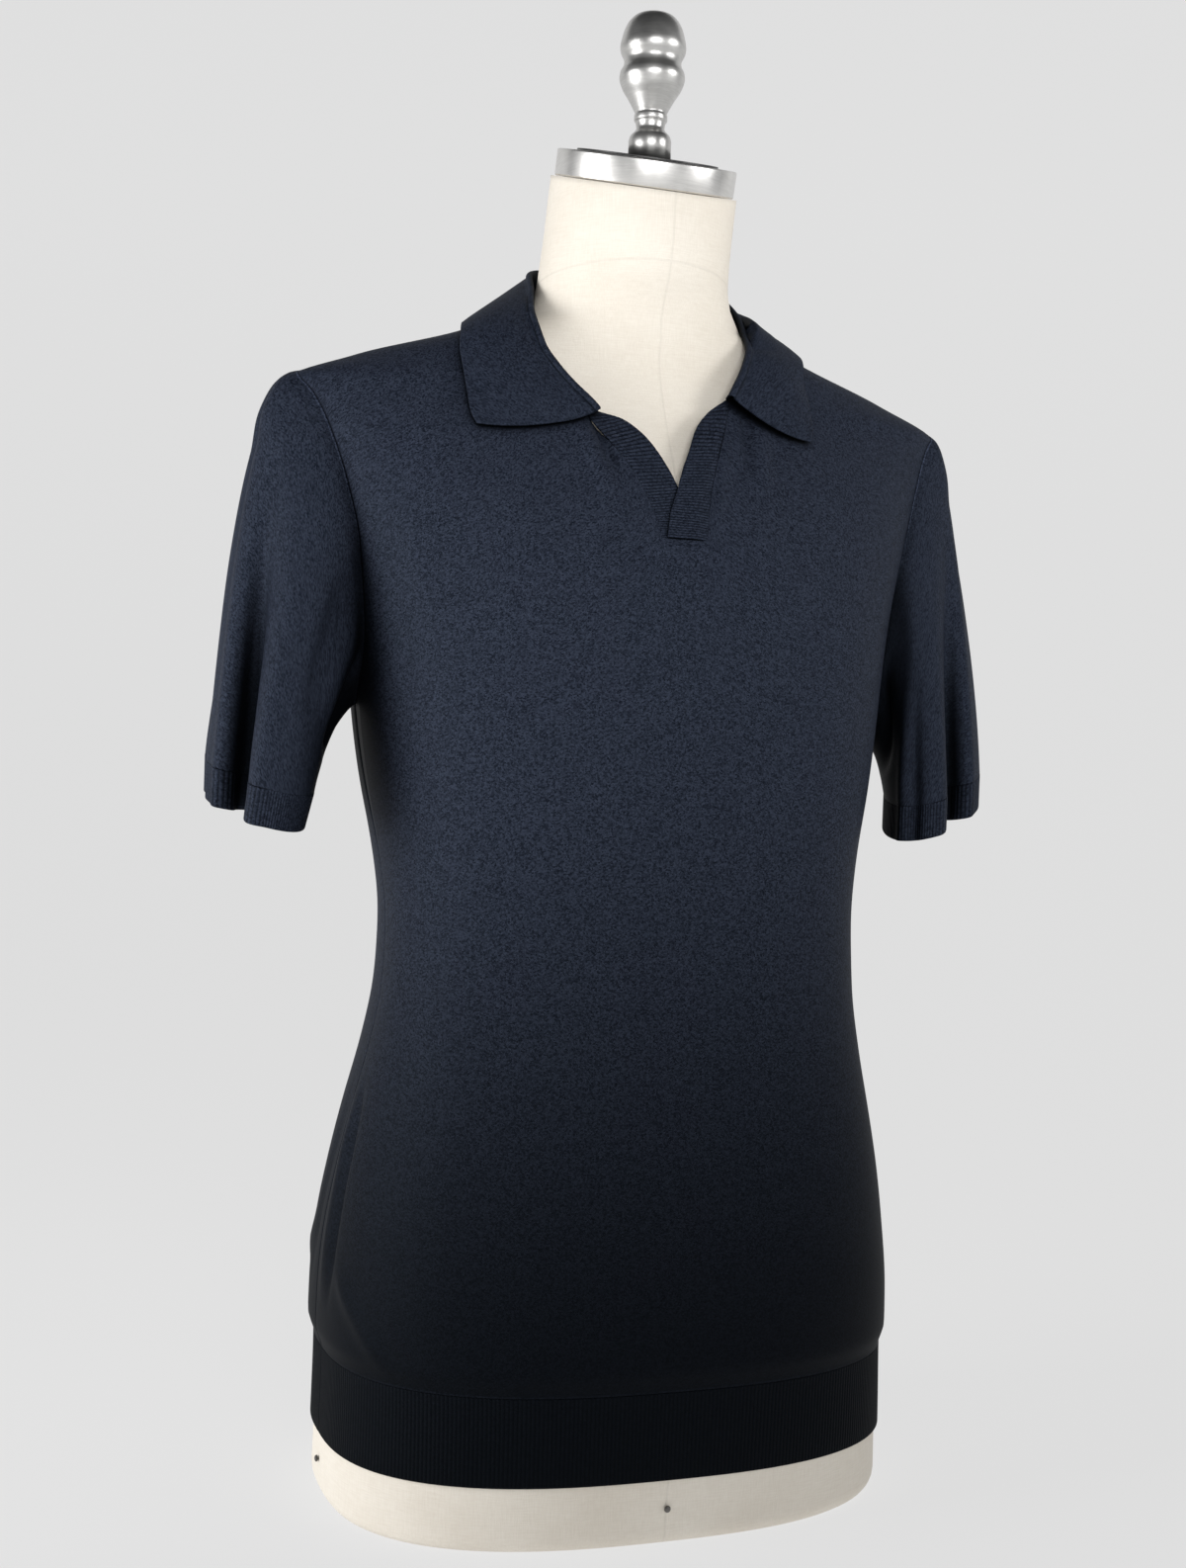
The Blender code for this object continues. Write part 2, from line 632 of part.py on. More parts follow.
def panel_grid(side):
    """Points of a panel's outer face, rows from the hem seam up to the shoulder seam."""
    top = np.array(panel_top(side))
    parts = np.linspace(0, 1, len(top))
    rows = []
    for height in PANEL_HEIGHTS:
        fan = max(0, (height - FAN_START) / (SHOULDER_TIP - FAN_START)) ** FAN_POWER
        edge_y = edge_y_of(height, side)
        edge_x = edge_x_of(height, side)
        low_x = even_half(height, side, edge_y, parts)
        x = (1 - fan) * low_x + fan * top[:, 0] * edge_x / top[-1, 0]
        z = height + fan * (top[:, 1] - SHOULDER_TIP)
        limit = width_at(TORSO.at(z)[:, 4] + side * SEAM / 2, z)
        x = np.clip(x, -limit, limit)
        rows.append(np.stack([x, reach_of(x, z, side), z], axis=1))
    return np.array(rows)


def cloth_wall(name, outer, finish, parts):
    """A wall of cloth under an outer face that lies on the torso."""
    inner = outer - CLOTH * torso_normals(outer)
    add_mesh(name, *wall_mesh(outer, inner), finish, parts)


def hem_grid(side):
    heights = (HEM_BOTTOM, 0.055, 0.074, HEM_TOP - SEAM / 2)
    parts = np.linspace(0, 1, HEM_COLUMNS + 1)
    rows = []
    for height in heights:
        x = even_half(height, side, edge_y_of(height, side), parts)
        level = np.full_like(x, height)
        rows.append(np.stack([x, reach_of(x, level, side), level], axis=1))
    return np.array(rows)


def placket_grid(table, columns, lift_of):
    """Points of a strip on the torso, from the stitch line up; lift_of(across, part) raises it."""
    grid = []
    for part in np.linspace(0, 1, STRIP_ROWS):
        inner_x, inner_z, outer_x, outer_z = table.at(part)
        across = np.linspace(0, 1, columns)
        x = inner_x + (outer_x - inner_x) * across
        z = inner_z + (outer_z - inner_z) * across
        flat = np.stack([x, reach_of(x, z, -1), z], axis=1)
        lift = np.array([lift_of(a, part) for a in across])
        grid.append(flat + lift[:, None] * torso_normals(flat))
    return np.array(grid)


def over_lift(across, part):
    """The upper strip starts level with the panel and stands off where it covers the lower."""
    rise = min(1, (1 - across) / 0.3)
    fade = min(1, (1 - part) / 0.35 + 0.25)
    return OVERLAP_LIFT * rise * fade


# ---------------------------------------------------------------- sleeves and cuffs
def armhole_ring(side):
    """The sleeve's first ring, top, front, underarm, back, a seam's gap inside the armhole."""
    heights = np.array([height for height in PANEL_HEIGHTS if height >= UNDERARM])
    edges = []
    for face in (-1, 1):
        y = np.array([edge_y_of(height, face) for height in heights])
        edges.append(np.stack([width_at(y, heights), y, heights], axis=1))
    front, back = edges
    ends = (front + back) / 2
    loop = np.vstack([ends[-1:], front[-2:0:-1], ends[:1], back[1:-1]])
    tangent = np.roll(loop, -1, axis=0) - np.roll(loop, 1, axis=0)
    inward = unit(np.cross(tangent, torso_normals(loop)))
    inward *= np.sign(((loop.mean(axis=0) - loop) * inward).sum(axis=1, keepdims=True))
    ring = snapped(loop + 1.5 * SEAM * inward)
    ring[:, 0] *= side
    return ring


def blend(directions, angle):
    """A direction between the four named ones, by the angle round from the top to the front."""
    along, across = math.cos(angle), math.sin(angle)
    weights = {
        "top": max(0, along) ** 2, "under": max(0, -along) ** 2,
        "front": max(0, across) ** 2, "back": max(0, -across) ** 2,
    }  # fmt: skip
    return sum(np.array(directions[name]) * weight for name, weight in weights.items())


def cuff_ring(sleeve, lift, scale=1.0):
    """The flattened oval in which a sleeve ends, this far above the cuff's lower edge."""
    turn = math.radians(sleeve["turn"])
    middle_x = sleeve["middle_x"] + sleeve["across"] * (1 - scale)
    ring = []
    for step in range(SLEEVE_AROUND):
        angle = 2 * math.pi * step / SLEEVE_AROUND
        across = sleeve["across"] * scale * math.cos(angle)
        along = -sleeve["along"] * scale * math.sin(angle)
        away = (math.degrees(angle) - sleeve["valley_at"] + 180) % 360 - 180
        dent = sleeve["valley_depth"] * math.exp(-((away / sleeve["valley_spread"]) ** 2))
        size = math.hypot(across, along)
        across -= dent * across / size
        along -= dent * along / size
        x = middle_x + across * math.cos(turn) + along * math.sin(turn)
        y = sleeve["middle_y"] - across * math.sin(turn) + along * math.cos(turn)
        tip = sleeve["slope"] * y + sleeve["lean"] * (x - sleeve["middle_x"])
        ring.append((sleeve["side"] * x, y, sleeve["level"] + tip + lift))
    return np.array(ring)


def sleeve_grid(sleeve):
    """Rings of a sleeve's outer face, from the armhole down to the cuff seam."""
    side = np.array([sleeve["side"], 1, 1])
    start = armhole_ring(sleeve["side"])
    smooth_end = cuff_ring(dict(sleeve, valley_depth=0.0), CUFF_HEIGHT + 1.5 * SEAM)
    dented_end = cuff_ring(sleeve, CUFF_HEIGHT + 1.5 * SEAM)
    angles = [2 * math.pi * step / SLEEVE_AROUND for step in range(SLEEVE_AROUND)]
    spring = {**LEAVE, "top": (sleeve["spring"], 0.0, LEAVE["top"][2])}
    leave = np.array([blend(spring, angle) for angle in angles]) * side
    meet = np.array([blend(MEET, angle) for angle in angles]) * side
    rings = []
    for part in SLEEVE_PARTS:
        rise = 3 * part**2 - 2 * part**3
        ring = (
            (1 - rise) * start
            + (part**3 - 2 * part**2 + part) * leave
            + rise * smooth_end
            + (part**3 - part**2) * meet
        )
        deep = max(0, (part - VALLEY_START) / (1 - VALLEY_START))
        rings.append(ring + (dented_end - smooth_end) * (3 * deep**2 - 2 * deep**3))
    return np.array(rings)


def tube_wall(name, outer, flip, finish, parts):
    """A tube of cloth inside a grid of rings; flip turns its inside to the right side."""
    inner = outer - flip * CLOTH * grid_normals(outer, closed=True)
    add_mesh(name, *wall_mesh(outer, inner, closed=True), finish, parts)


def build_sleeves(parts):
    for name, sleeve in SLEEVES.items():
        tube_wall("sleeve_" + name, sleeve_grid(sleeve), sleeve["side"], "navy_jersey", parts)
        rings = [
            cuff_ring(sleeve, CUFF_HEIGHT),
            cuff_ring(sleeve, CUFF_HEIGHT / 2, (1 + sleeve["taper"]) / 2),
            cuff_ring(sleeve, 0.0, sleeve["taper"]),
        ]
        tube_wall("cuff_" + name, np.array(rings), sleeve["side"], "navy_rib", parts)


# ---------------------------------------------------------------- collar
def collar_grid():
    """Middle of the collar's wall: columns run from the neckline over the fold to the edge."""
    stations = np.linspace(0, COLLAR.key[-1], COLLAR_STATIONS)
    rows = COLLAR.at(stations)
    neck = snapped(rows[:, 0:3])
    fold, edge = rows[:, 3:6], rows[:, 6:9]
    neck = neck + SEAM / 2 * unit(fold - neck)
    edge = snapped(edge, LEAF_LIFT)
    along = unit(np.gradient(fold, axis=0))
    outward = edge - fold
    outward = unit(outward - (outward * along).sum(axis=1, keepdims=True) * along)
    up = unit(np.cross(along, outward))
    up = up * np.sign(up[:, 2:3])
    inner_foot = fold - FOLD_RADIUS * outward
    outer_foot = fold + FOLD_RADIUS * outward
    slant = FOLD_RADIUS * math.sqrt(0.5)
    columns = [
        neck,
        (neck + inner_foot) / 2,
        inner_foot,
        fold + slant * (up - outward),
        fold + FOLD_RADIUS * up,
        fold + slant * (up + outward),
    ]
    end = COLLAR.key[-1]
    from_front = np.minimum(stations, end - stations)
    sag = FRONT_EDGE_SAG * np.clip(1 - from_front / 2, 0, 1) ** 2
    for part in LEAF_PARTS:
        hump = 4 * part * (1 - part)
        point = outer_foot + (edge - outer_foot) * part + LEAF_BULGE * hump * up
        point[:, 2] -= sag * hump
        columns.append(kept_off(point, LEAF_LIFT) if part else point)
    return np.stack(columns, axis=1)


def build_collar(parts):
    middle = collar_grid()
    normals = grid_normals(middle, closed=False)
    half = COLLAR_WALL / 2
    add_mesh("collar", *wall_mesh(middle + half * normals, middle - half * normals), "navy_rib", parts)


def build_body(parts):
    cloth_wall("front_panel", panel_grid(-1), "navy_jersey", parts)
    cloth_wall("back_panel", panel_grid(1), "navy_jersey", parts)
    cloth_wall("hem_rib_front", hem_grid(-1), "navy_rib", parts)
    cloth_wall("hem_rib_back", hem_grid(1), "navy_rib", parts)
    under = placket_grid(PLACKET_UNDER, 5, lambda across, part: 0.0)
    over = placket_grid(PLACKET_OVER, 7, over_lift)
    cloth_wall("placket_under", under, "navy_rib", parts)
    cloth_wall("placket_over", over, "navy_rib", parts)


def clear_scene():
    for obj in list(bpy.data.objects):
        bpy.data.objects.remove(obj, do_unlink=True)


def main():
    clear_scene()
    parts = collection(NAME)
    cutters = collection("cutters")
    build_form(parts)
    tilted_disc("neck_cap", CAP_RADIUS, CAP_THICKNESS, SEAM, "brushed_aluminium", parts)
    tilted_disc("cap_plate", PLATE_RADIUS, PLATE_THICKNESS, PLATE_LIFT, "dark_plate", parts)
    build_finial(parts, cutters)
    build_pins(parts)
    build_body(parts)
    build_sleeves(parts)
    build_collar(parts)


main()
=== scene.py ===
"""Looks of the knitted polo shirt on its dress form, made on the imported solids' frame."""

import math

import bpy
import numpy as np
from mathutils import Matrix, Vector


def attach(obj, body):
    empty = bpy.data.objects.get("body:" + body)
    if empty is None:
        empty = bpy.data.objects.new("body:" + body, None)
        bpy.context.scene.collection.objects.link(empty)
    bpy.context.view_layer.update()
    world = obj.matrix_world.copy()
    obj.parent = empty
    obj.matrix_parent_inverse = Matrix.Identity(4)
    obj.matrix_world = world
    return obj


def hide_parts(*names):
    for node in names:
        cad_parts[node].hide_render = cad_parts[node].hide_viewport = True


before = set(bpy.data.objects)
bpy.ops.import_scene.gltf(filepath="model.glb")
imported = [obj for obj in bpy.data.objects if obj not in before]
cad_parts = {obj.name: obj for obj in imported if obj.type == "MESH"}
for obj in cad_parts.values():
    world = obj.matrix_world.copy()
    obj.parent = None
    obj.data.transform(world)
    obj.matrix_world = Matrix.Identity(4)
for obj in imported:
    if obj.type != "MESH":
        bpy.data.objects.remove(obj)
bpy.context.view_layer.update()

# -------- sizes, as in the solids
CLOTH = 0.0012              # walls
COLLAR_WALL = 0.0015
HEM_BOTTOM = 0.0395
HEM_TOP = 0.0915
UNDERARM = 0.4870
SHOULDER_TIP = 0.6875
CUFF_HEIGHT = 0.023
CAP_RADIUS = 0.0572
CAP_THICKNESS = 0.0165
CAP_TILT = math.radians(16.7)
CAP_CENTRE = (0.0, -0.012, 0.8217)
CAP_GAP = 0.0004
PLATE_RADIUS = 0.045
PLATE_THICKNESS = 0.0012
FINIAL_AXIS = (0.0030, -0.0120)
FINIAL_GAP = 0.0002
RIB_PITCH = 0.0024          # from one raised rib of the hem and cuffs to the next
RIB_RELIEF = 0.00035
STRIP_RIB_PITCH = 0.0022
ROLLED_EDGE = (0.0010, 0.55)    # a free edge thins over this distance, by this share,
SEAM_EDGE = (0.0006, 0.18)      # and so does an edge that is sewn to another piece


class Table:
    """Rows of values, read between them along smooth curves that never overshoot.

    The first column is the key that the others are read by.
    """

    def __init__(self, rows):
        data = np.array(rows, float)
        self.key = data[:, 0]
        self.value = data[:, 1:]
        step = np.diff(self.value, axis=0) / np.diff(self.key)[:, None]
        before, after = step[:-1], step[1:]
        total = np.where(before + after == 0, 1, before + after)
        inner = np.where(before * after > 0, 2 * before * after / total, 0)
        self.slope = np.vstack([step[:1], inner, step[-1:]])

    def at(self, key):
        key = np.clip(key, self.key[0], self.key[-1])
        row = np.clip(np.searchsorted(self.key, key, "right") - 1, 0, len(self.key) - 2)
        width = (self.key[row + 1] - self.key[row])[..., None]
        part = (np.asarray(key) - self.key[row])[..., None] / width
        rise = 3 * part**2 - 2 * part**3
        leave = (part**3 - 2 * part**2 + part) * width
        arrive = (part**3 - part**2) * width
        return (
            (1 - rise) * self.value[row]
            + leave * self.slope[row]
            + rise * self.value[row + 1]
            + arrive * self.slope[row + 1]
        )


TORSO = Table([
    # height, half width, front, back, squareness, widest
    (0.0000, 0.1825, 0.1312, 0.1232, 2.60, -0.008),
    (0.0500, 0.1812, 0.1340, 0.1260, 2.60, -0.006),
    (0.0915, 0.1805, 0.1350, 0.1280, 2.60, -0.003),
    (0.1050, 0.1840, 0.1390, 0.1310, 2.60, 0.000),
    (0.1300, 0.1838, 0.1380, 0.1310, 2.60, 0.000),
    (0.1600, 0.1818, 0.1360, 0.1300, 2.55, 0.000),
    (0.2000, 0.1762, 0.1320, 0.1270, 2.50, -0.005),
    (0.2400, 0.1684, 0.1270, 0.1220, 2.45, -0.009),
    (0.2800, 0.1596, 0.1210, 0.1150, 2.40, -0.014),
    (0.3200, 0.1532, 0.1170, 0.1100, 2.40, -0.016),
    (0.3600, 0.1519, 0.1160, 0.1070, 2.40, -0.013),
    (0.4000, 0.1562, 0.1180, 0.1070, 2.40, -0.005),
    (0.4400, 0.1640, 0.1200, 0.1100, 2.40, 0.002),
    (0.4800, 0.1700, 0.1220, 0.1150, 2.35, 0.006),
    (0.5200, 0.1745, 0.1210, 0.1200, 2.30, 0.006),
    (0.5600, 0.1820, 0.1170, 0.1220, 2.20, 0.006),
    (0.6000, 0.1930, 0.1070, 0.1200, 2.10, 0.005),
    (0.6400, 0.2060, 0.0910, 0.1120, 1.90, 0.003),
    (0.6650, 0.2160, 0.0770, 0.1020, 1.70, 0.002),
    (0.6800, 0.2215, 0.0690, 0.0950, 1.55, 0.001),
    (0.7000, 0.1800, 0.0600, 0.0850, 1.60, 0.000),
    (0.7220, 0.1126, 0.0560, 0.0720, 1.80, -0.002),
    (0.7360, 0.0860, 0.0540, 0.0610, 2.00, -0.003),
    (0.7450, 0.0740, 0.0545, 0.0550, 2.00, -0.004),
    (0.7600, 0.0650, 0.0580, 0.0500, 2.00, -0.005),
])

FORM_EASE = Table([
    # height, side, front, back, drop
    (0.000, 0.0022, 0.0022, 0.0022, 0.0000),
    (0.090, 0.0022, 0.0022, 0.0022, 0.0000),
    (0.130, 0.0055, 0.0050, 0.0050, 0.0000),
    (0.200, 0.0040, 0.0040, 0.0045, 0.0000),
    (0.300, 0.0080, 0.0060, 0.0090, 0.0000),
    (0.380, 0.0080, 0.0060, 0.0100, 0.0000),
    (0.480, 0.0050, 0.0035, 0.0060, 0.0000),
    (0.560, 0.0080, 0.0030, 0.0040, 0.0000),
    (0.620, 0.0100, 0.0090, 0.0030, 0.0006),
    (0.660, 0.0100, 0.0110, 0.0065, 0.0014),
    (0.690, 0.0024, 0.0085, 0.0065, 0.0022),
    (0.706, 0.0036, 0.0080, 0.0060, 0.0020),
    (0.722, 0.0140, 0.0035, 0.0070, 0.0016),
    (0.736, 0.0190, 0.0020, 0.0060, 0.0016),
])

NECK = Table([
    # height, middle x, middle y, half width, half depth, tilt degrees
    (0.748, -0.002, -0.0045, 0.0640, 0.0530, 2.0),
    (0.762, -0.003, -0.0070, 0.0612, 0.0560, 6.0),
    (0.790, -0.002, -0.0100, 0.0597, 0.0585, 12.0),
    (0.8217, 0.000, -0.0120, 0.0595, 0.0590, 16.7),
])

ARMHOLE = Table([
    # height, front, back
    (UNDERARM, 0.0060, 0.0060),
    (0.4940, 0.0000, 0.0160),
    (0.5130, -0.0161, 0.0300),
    (0.5330, -0.0240, 0.0360),
    (0.5627, -0.0290, 0.0400),
    (0.5916, -0.0326, 0.0410),
    (0.6173, -0.0300, 0.0380),
    (0.6457, -0.0240, 0.0300),
    (0.6713, -0.0150, 0.0200),
    (0.6820, -0.0080, 0.0110),
    (SHOULDER_TIP, 0.0006, 0.0006),
])

FAN_START = 0.40            # above this height the panels' rows fan out to the shoulders
FAN_POWER = 1.3

PLACKET_UNDER = Table([
    # part, inner x, inner z, outer x, outer z
    (0.00, 0.0040, 0.5900, -0.0165, 0.5900),
    (0.25, 0.0005, 0.6090, -0.0205, 0.6060),
    (0.45, -0.0048, 0.6252, -0.0270, 0.6220),
    (0.60, -0.0110, 0.6390, -0.0340, 0.6360),
    (0.75, -0.0215, 0.6550, -0.0425, 0.6480),
    (0.88, -0.0340, 0.6640, -0.0510, 0.6600),
    (1.00, -0.0485, 0.6668, -0.0595, 0.6760),
])
PLACKET_OVER = Table([
    # part, inner x, inner z, outer x, outer z
    (0.00, -0.0140, 0.5900, 0.0119, 0.5900),
    (0.20, -0.0109, 0.6044, 0.0142, 0.6040),
    (0.38, -0.0055, 0.6180, 0.0175, 0.6195),
    (0.55, 0.0000, 0.6320, 0.0225, 0.6340),
    (0.70, 0.0065, 0.6455, 0.0280, 0.6480),
    (0.82, 0.0145, 0.6610, 0.0345, 0.6620),
    (0.92, 0.0255, 0.6730, 0.0405, 0.6770),
    (1.00, 0.0392, 0.6825, 0.0472, 0.6886),
])
OVERLAP_LIFT = 0.0016       # of the upper strip over the under one

COLLAR = Table([
    # station, neck x, neck y, neck z, fold x, fold y, fold z, edge x, edge y, edge z
    (0, -0.049, -0.072, 0.6675, -0.0482, -0.0775, 0.669, -0.1205, -0.068, 0.6535),
    (1, -0.06, -0.069, 0.677, -0.059, -0.0735, 0.6775, -0.1232, -0.063, 0.662),
    (2, -0.071, -0.061, 0.69, -0.07, -0.064, 0.692, -0.124, -0.0525, 0.68),
    (3, -0.08, -0.05, 0.705, -0.077, -0.053, 0.7075, -0.1246, -0.0414, 0.6981),
    (4, -0.086, -0.034, 0.72, -0.0785, -0.036, 0.7275, -0.1205, -0.026, 0.7145),
    (5, -0.088, -0.003, 0.733, -0.0712, -0.008, 0.75, -0.113, -0.001, 0.7245),
    (6, -0.08, 0.024, 0.736, -0.064, 0.019, 0.765, -0.1005, 0.034, 0.7255),
    (7, -0.052, 0.05, 0.738, -0.044, 0.046, 0.774, -0.064, 0.07, 0.7225),
    (8, 0, 0.06, 0.738, 0, 0.059, 0.7765, 0, 0.0855, 0.719),
    (9, 0.052, 0.05, 0.738, 0.044, 0.046, 0.774, 0.064, 0.07, 0.7225),
    (10, 0.08, 0.024, 0.736, 0.0665, 0.02, 0.765, 0.1005, 0.034, 0.7255),
    (11, 0.087, -0.003, 0.7335, 0.069, -0.006, 0.749, 0.11, -0.001, 0.7235),
    (12, 0.078, -0.033, 0.724, 0.064, -0.034, 0.729, 0.103, -0.033, 0.712),
    (13, 0.068, -0.046, 0.715, 0.059, -0.052, 0.7165, 0.1, -0.047, 0.701),
    (14, 0.057, -0.056, 0.703, 0.053, -0.061, 0.7045, 0.1, -0.054, 0.689),
    (15, 0.048, -0.0625, 0.691, 0.0465, -0.0675, 0.694, 0.1, -0.0615, 0.6745),
    (16, 0.04, -0.067, 0.6848, 0.0402, -0.072, 0.686, 0.0955, -0.0705, 0.6605),
])
FOLD_RADIUS = 0.0017
LEAF_LIFT = 0.0034          # of the leaf over the panels, and how far it bulges between
LEAF_BULGE = 0.0030         # its fold and its edge
FRONT_EDGE_SAG = 0.006

SLEEVES = {
    "right": dict(side=-1, middle_x=0.230, middle_y=0.002, across=0.030, along=0.060,
                  turn=6, valley_at=36, valley_spread=15, valley_depth=0.024,
                  level=0.4190, slope=0.15, lean=0.18, taper=0.92, spring=0.094),
    "left": dict(side=1, middle_x=0.232, middle_y=0.002, across=0.031, along=0.060,
                 turn=40, valley_at=36, valley_spread=17, valley_depth=0.020,
                 level=0.4275, slope=0.13, lean=0.26, taper=1.00, spring=0.048),
}
VALLEY_START = 0.30         # part of the sleeve's length where its deep fold begins
# How the cloth leaves the armhole and meets the cuff, outward, forward (below zero) and up
LEAVE = {"top": (0.0, 0.0, -0.032), "front": (0.034, -0.030, -0.050),
         "under": (0.024, 0.0, -0.012), "back": (0.034, 0.030, -0.050)}
MEET = {"top": (0.020, 0.0, -0.270), "front": (0.004, -0.012, -0.130),
        "under": (0.016, 0.0, -0.045), "back": (0.004, 0.012, -0.130)}

FINIAL = [
    # radius, height above the plate
    (0.0136, -0.0034),
    (0.0136, 0.0100),
    (0.0128, 0.0128),
    (0.0100, 0.0160),
    (0.0090, 0.0180),
    (0.0098, 0.0225),
    (0.0106, 0.0232),
    (0.0106, 0.0262),
    (0.0100, 0.0272),
    (0.0112, 0.0300),
    (0.0150, 0.0370),
    (0.0192, 0.0440),
    (0.0209, 0.0500),
    (0.0205, 0.0530),
    (0.0184, 0.0575),
    (0.0182, 0.0600),
    (0.0207, 0.0665),
    (0.0210, 0.0690),
    (0.0200, 0.0750),
    (0.0172, 0.0830),
    (0.0115, 0.0890),
    (0.0000, 0.0918),
]

# Soft creases in the panels, each from one place to another: how wide it is, and how far it
# stands out (or in, below zero). Near the middle a place is given by x and height, and near
# the sides by its part of the way across the panel and height.
FRONT_CREASES = [
    # x0, z0, x1, z1, half width, height
    (-0.052, 0.664, -0.04, 0.628, 0.003, -0.0028),
    (-0.059, 0.66, -0.045, 0.612, 0.005, 0.0026),
    (0.052, 0.674, 0.046, 0.634, 0.0038, -0.003),
    (0.061, 0.67, 0.054, 0.62, 0.0055, 0.002),
    (0.035, 0.66, 0.018, 0.598, 0.0035, 0.0018),
    (-0.022, 0.5835, 0.019, 0.5825, 0.0035, 0.0013),
    (-0.03, 0.576, 0.025, 0.574, 0.006, -0.0006),
]
FRONT_SIDE_CREASES = [
    # part0, z0, part1, z1, half width, height
    (0.034, 0.25, 0.046, 0.128, 0.0042, -0.005),
    (0.012, 0.25, 0.022, 0.125, 0.005, 0.0022),
    (0.07, 0.15, 0.17, 0.103, 0.0065, 0.0036),
    (0.17, 0.104, 0.32, 0.0985, 0.004, 0.0013),
    (0.955, 0.15, 0.9, 0.105, 0.007, 0.0018),
    (0.035, 0.6, 0.09, 0.52, 0.006, 0.001),
    (0.03, 0.56, 0.085, 0.49, 0.005, -0.0009),
    (0.965, 0.6, 0.91, 0.52, 0.006, 0.0009),
    (0.97, 0.56, 0.915, 0.49, 0.005, -0.0009),
]
BACK_CREASES = [
    (-0.09, 0.42, -0.02, 0.35, 0.016, 0.0016),
    (0.09, 0.43, 0.03, 0.345, 0.016, 0.0014),
    (-0.03, 0.64, -0.1, 0.6, 0.009, 0.001),
    (0.03, 0.642, 0.1, 0.603, 0.009, 0.001),
]
BACK_SIDE_CREASES = [
    (0.025, 0.25, 0.04, 0.125, 0.0045, -0.0024),
    (0.06, 0.16, 0.17, 0.104, 0.007, 0.0024),
    (0.975, 0.25, 0.96, 0.125, 0.0045, -0.0022),
    (0.94, 0.155, 0.84, 0.104, 0.007, 0.0022),
    (0.04, 0.6, 0.12, 0.48, 0.008, 0.0013),
    (0.96, 0.6, 0.88, 0.48, 0.008, 0.0013),
    (0.12, 0.35, 0.33, 0.31, 0.012, 0.0012),
    (0.88, 0.355, 0.66, 0.315, 0.012, 0.0012),
]
# Soft folds down each sleeve: the angle round from the top to the front, half width in
# degrees, height, and where along the sleeve they begin and end.
SLEEVE_FOLDS = {
    "right": [
        # angle, half width, height, from, to
        (0, 34, 0.0034, 0, 0.34),
        (12, 6, 0.003, 0.4, 1),
        (34, 8, -0.008, 0.22, 1),
        (60, 9, 0.004, 0.3, 1),
        (98, 12, -0.003, 0.12, 0.75),
        (124, 10, 0.003, 0.05, 0.7),
        (146, 10, -0.0085, 0.02, 0.78),
        (200, 14, 0.003, 0.2, 1),
        (252, 14, -0.006, 0.25, 1),
        (300, 14, 0.0035, 0.35, 1),
        (333, 9, -0.004, 0.55, 1),
    ],
    "left": [
        (0, 34, 0.0026, 0, 0.34),
        (14, 6, 0.0024, 0.45, 1),
        (34, 8, -0.006, 0.3, 1),
        (58, 9, 0.0028, 0.4, 1),
        (88, 7, -0.0034, 0.35, 1),
        (105, 7, 0.0032, 0.4, 1),
        (138, 12, -0.0065, 0.08, 0.85),
        (205, 14, 0.003, 0.2, 1),
        (250, 14, -0.006, 0.25, 1),
        (298, 14, 0.0035, 0.35, 1),
        (335, 9, -0.0035, 0.55, 1),
    ],
}


# -------- the torso as a surface
EVENED = (0.105, 0.655)     # heights between which the torso's rows are evened out,
EVENED_REACH = 0.012        # over this distance up and down
HALF_STEPS = 361            # fine steps round half a section,
ROUND = np.linspace(0, 2 * math.pi, 2881)[:-1]      # and angles round a whole one


def torso_at(height):
    """The torso's row at each height, evened out between the hem's fold and the shoulders."""
    height = np.asarray(height, float)
    inside = np.minimum(height - EVENED[0], EVENED[1] - height)
    reach = np.clip(inside * 0.7, 0, EVENED_REACH)
    return (TORSO.at(height - reach) + 2 * TORSO.at(height) + TORSO.at(height + reach)) / 4


def section(height):
    """The torso's half width, front, back, power and widest place, each at these heights."""
    return np.moveaxis(torso_at(height), -1, 0)


def curved(value, power):
    """A sine or cosine drawn out to a superellipse's."""
    return np.sign(value) * np.abs(value) ** (2 / power)


def reach_of(x, height, side):
    """The y of the torso's face at x; side is -1 for the front and 1 for the back."""
    half_width, front, back, power, widest = section(height)
    depth = front + widest if side < 0 else back - widest
    left = np.clip(1 - (np.abs(x) / half_width) ** power, 0, 1)
    return widest + side * depth * left ** (1 / power)


def width_at(y, height):
    """The torso's half width at y."""
    half_width, front, back, power, widest = section(height)
    depth = np.where(y < widest, front + widest, back - widest)
    left = np.clip(1 - (np.abs(y - widest) / depth) ** power, 0, 1)
    return half_width * left ** (1 / power)


def outsideness(points):
    """Below zero inside the torso, zero on its face."""
    half_width, front, back, power, widest = section(points[..., 2])
    depth = np.where(points[..., 1] < widest, front + widest, back - widest)
    across = (np.abs(points[..., 0]) / half_width) ** power
    return across + (np.abs(points[..., 1] - widest) / depth) ** power - 1


def unit(vectors):
    return vectors / np.linalg.norm(vectors, axis=-1, keepdims=True)


def steepness(points):
    tiny = 1e-5
    steps = [tiny * axis for axis in np.eye(3)]
    return np.stack(
        [(outsideness(points + s) - outsideness(points - s)) / (2 * tiny) for s in steps],
        axis=-1,
    )


def torso_normals(points):
    return unit(steepness(points))


def torso_distance(points):
    return outsideness(points) / np.linalg.norm(steepness(points), axis=-1)


def snapped(points, lift=0.0):
    """The points moved onto the torso's face, or this far off it."""
    for _ in range(6):
        points = points - torso_distance(points)[..., None] * torso_normals(points)
    return points + lift * torso_normals(points)


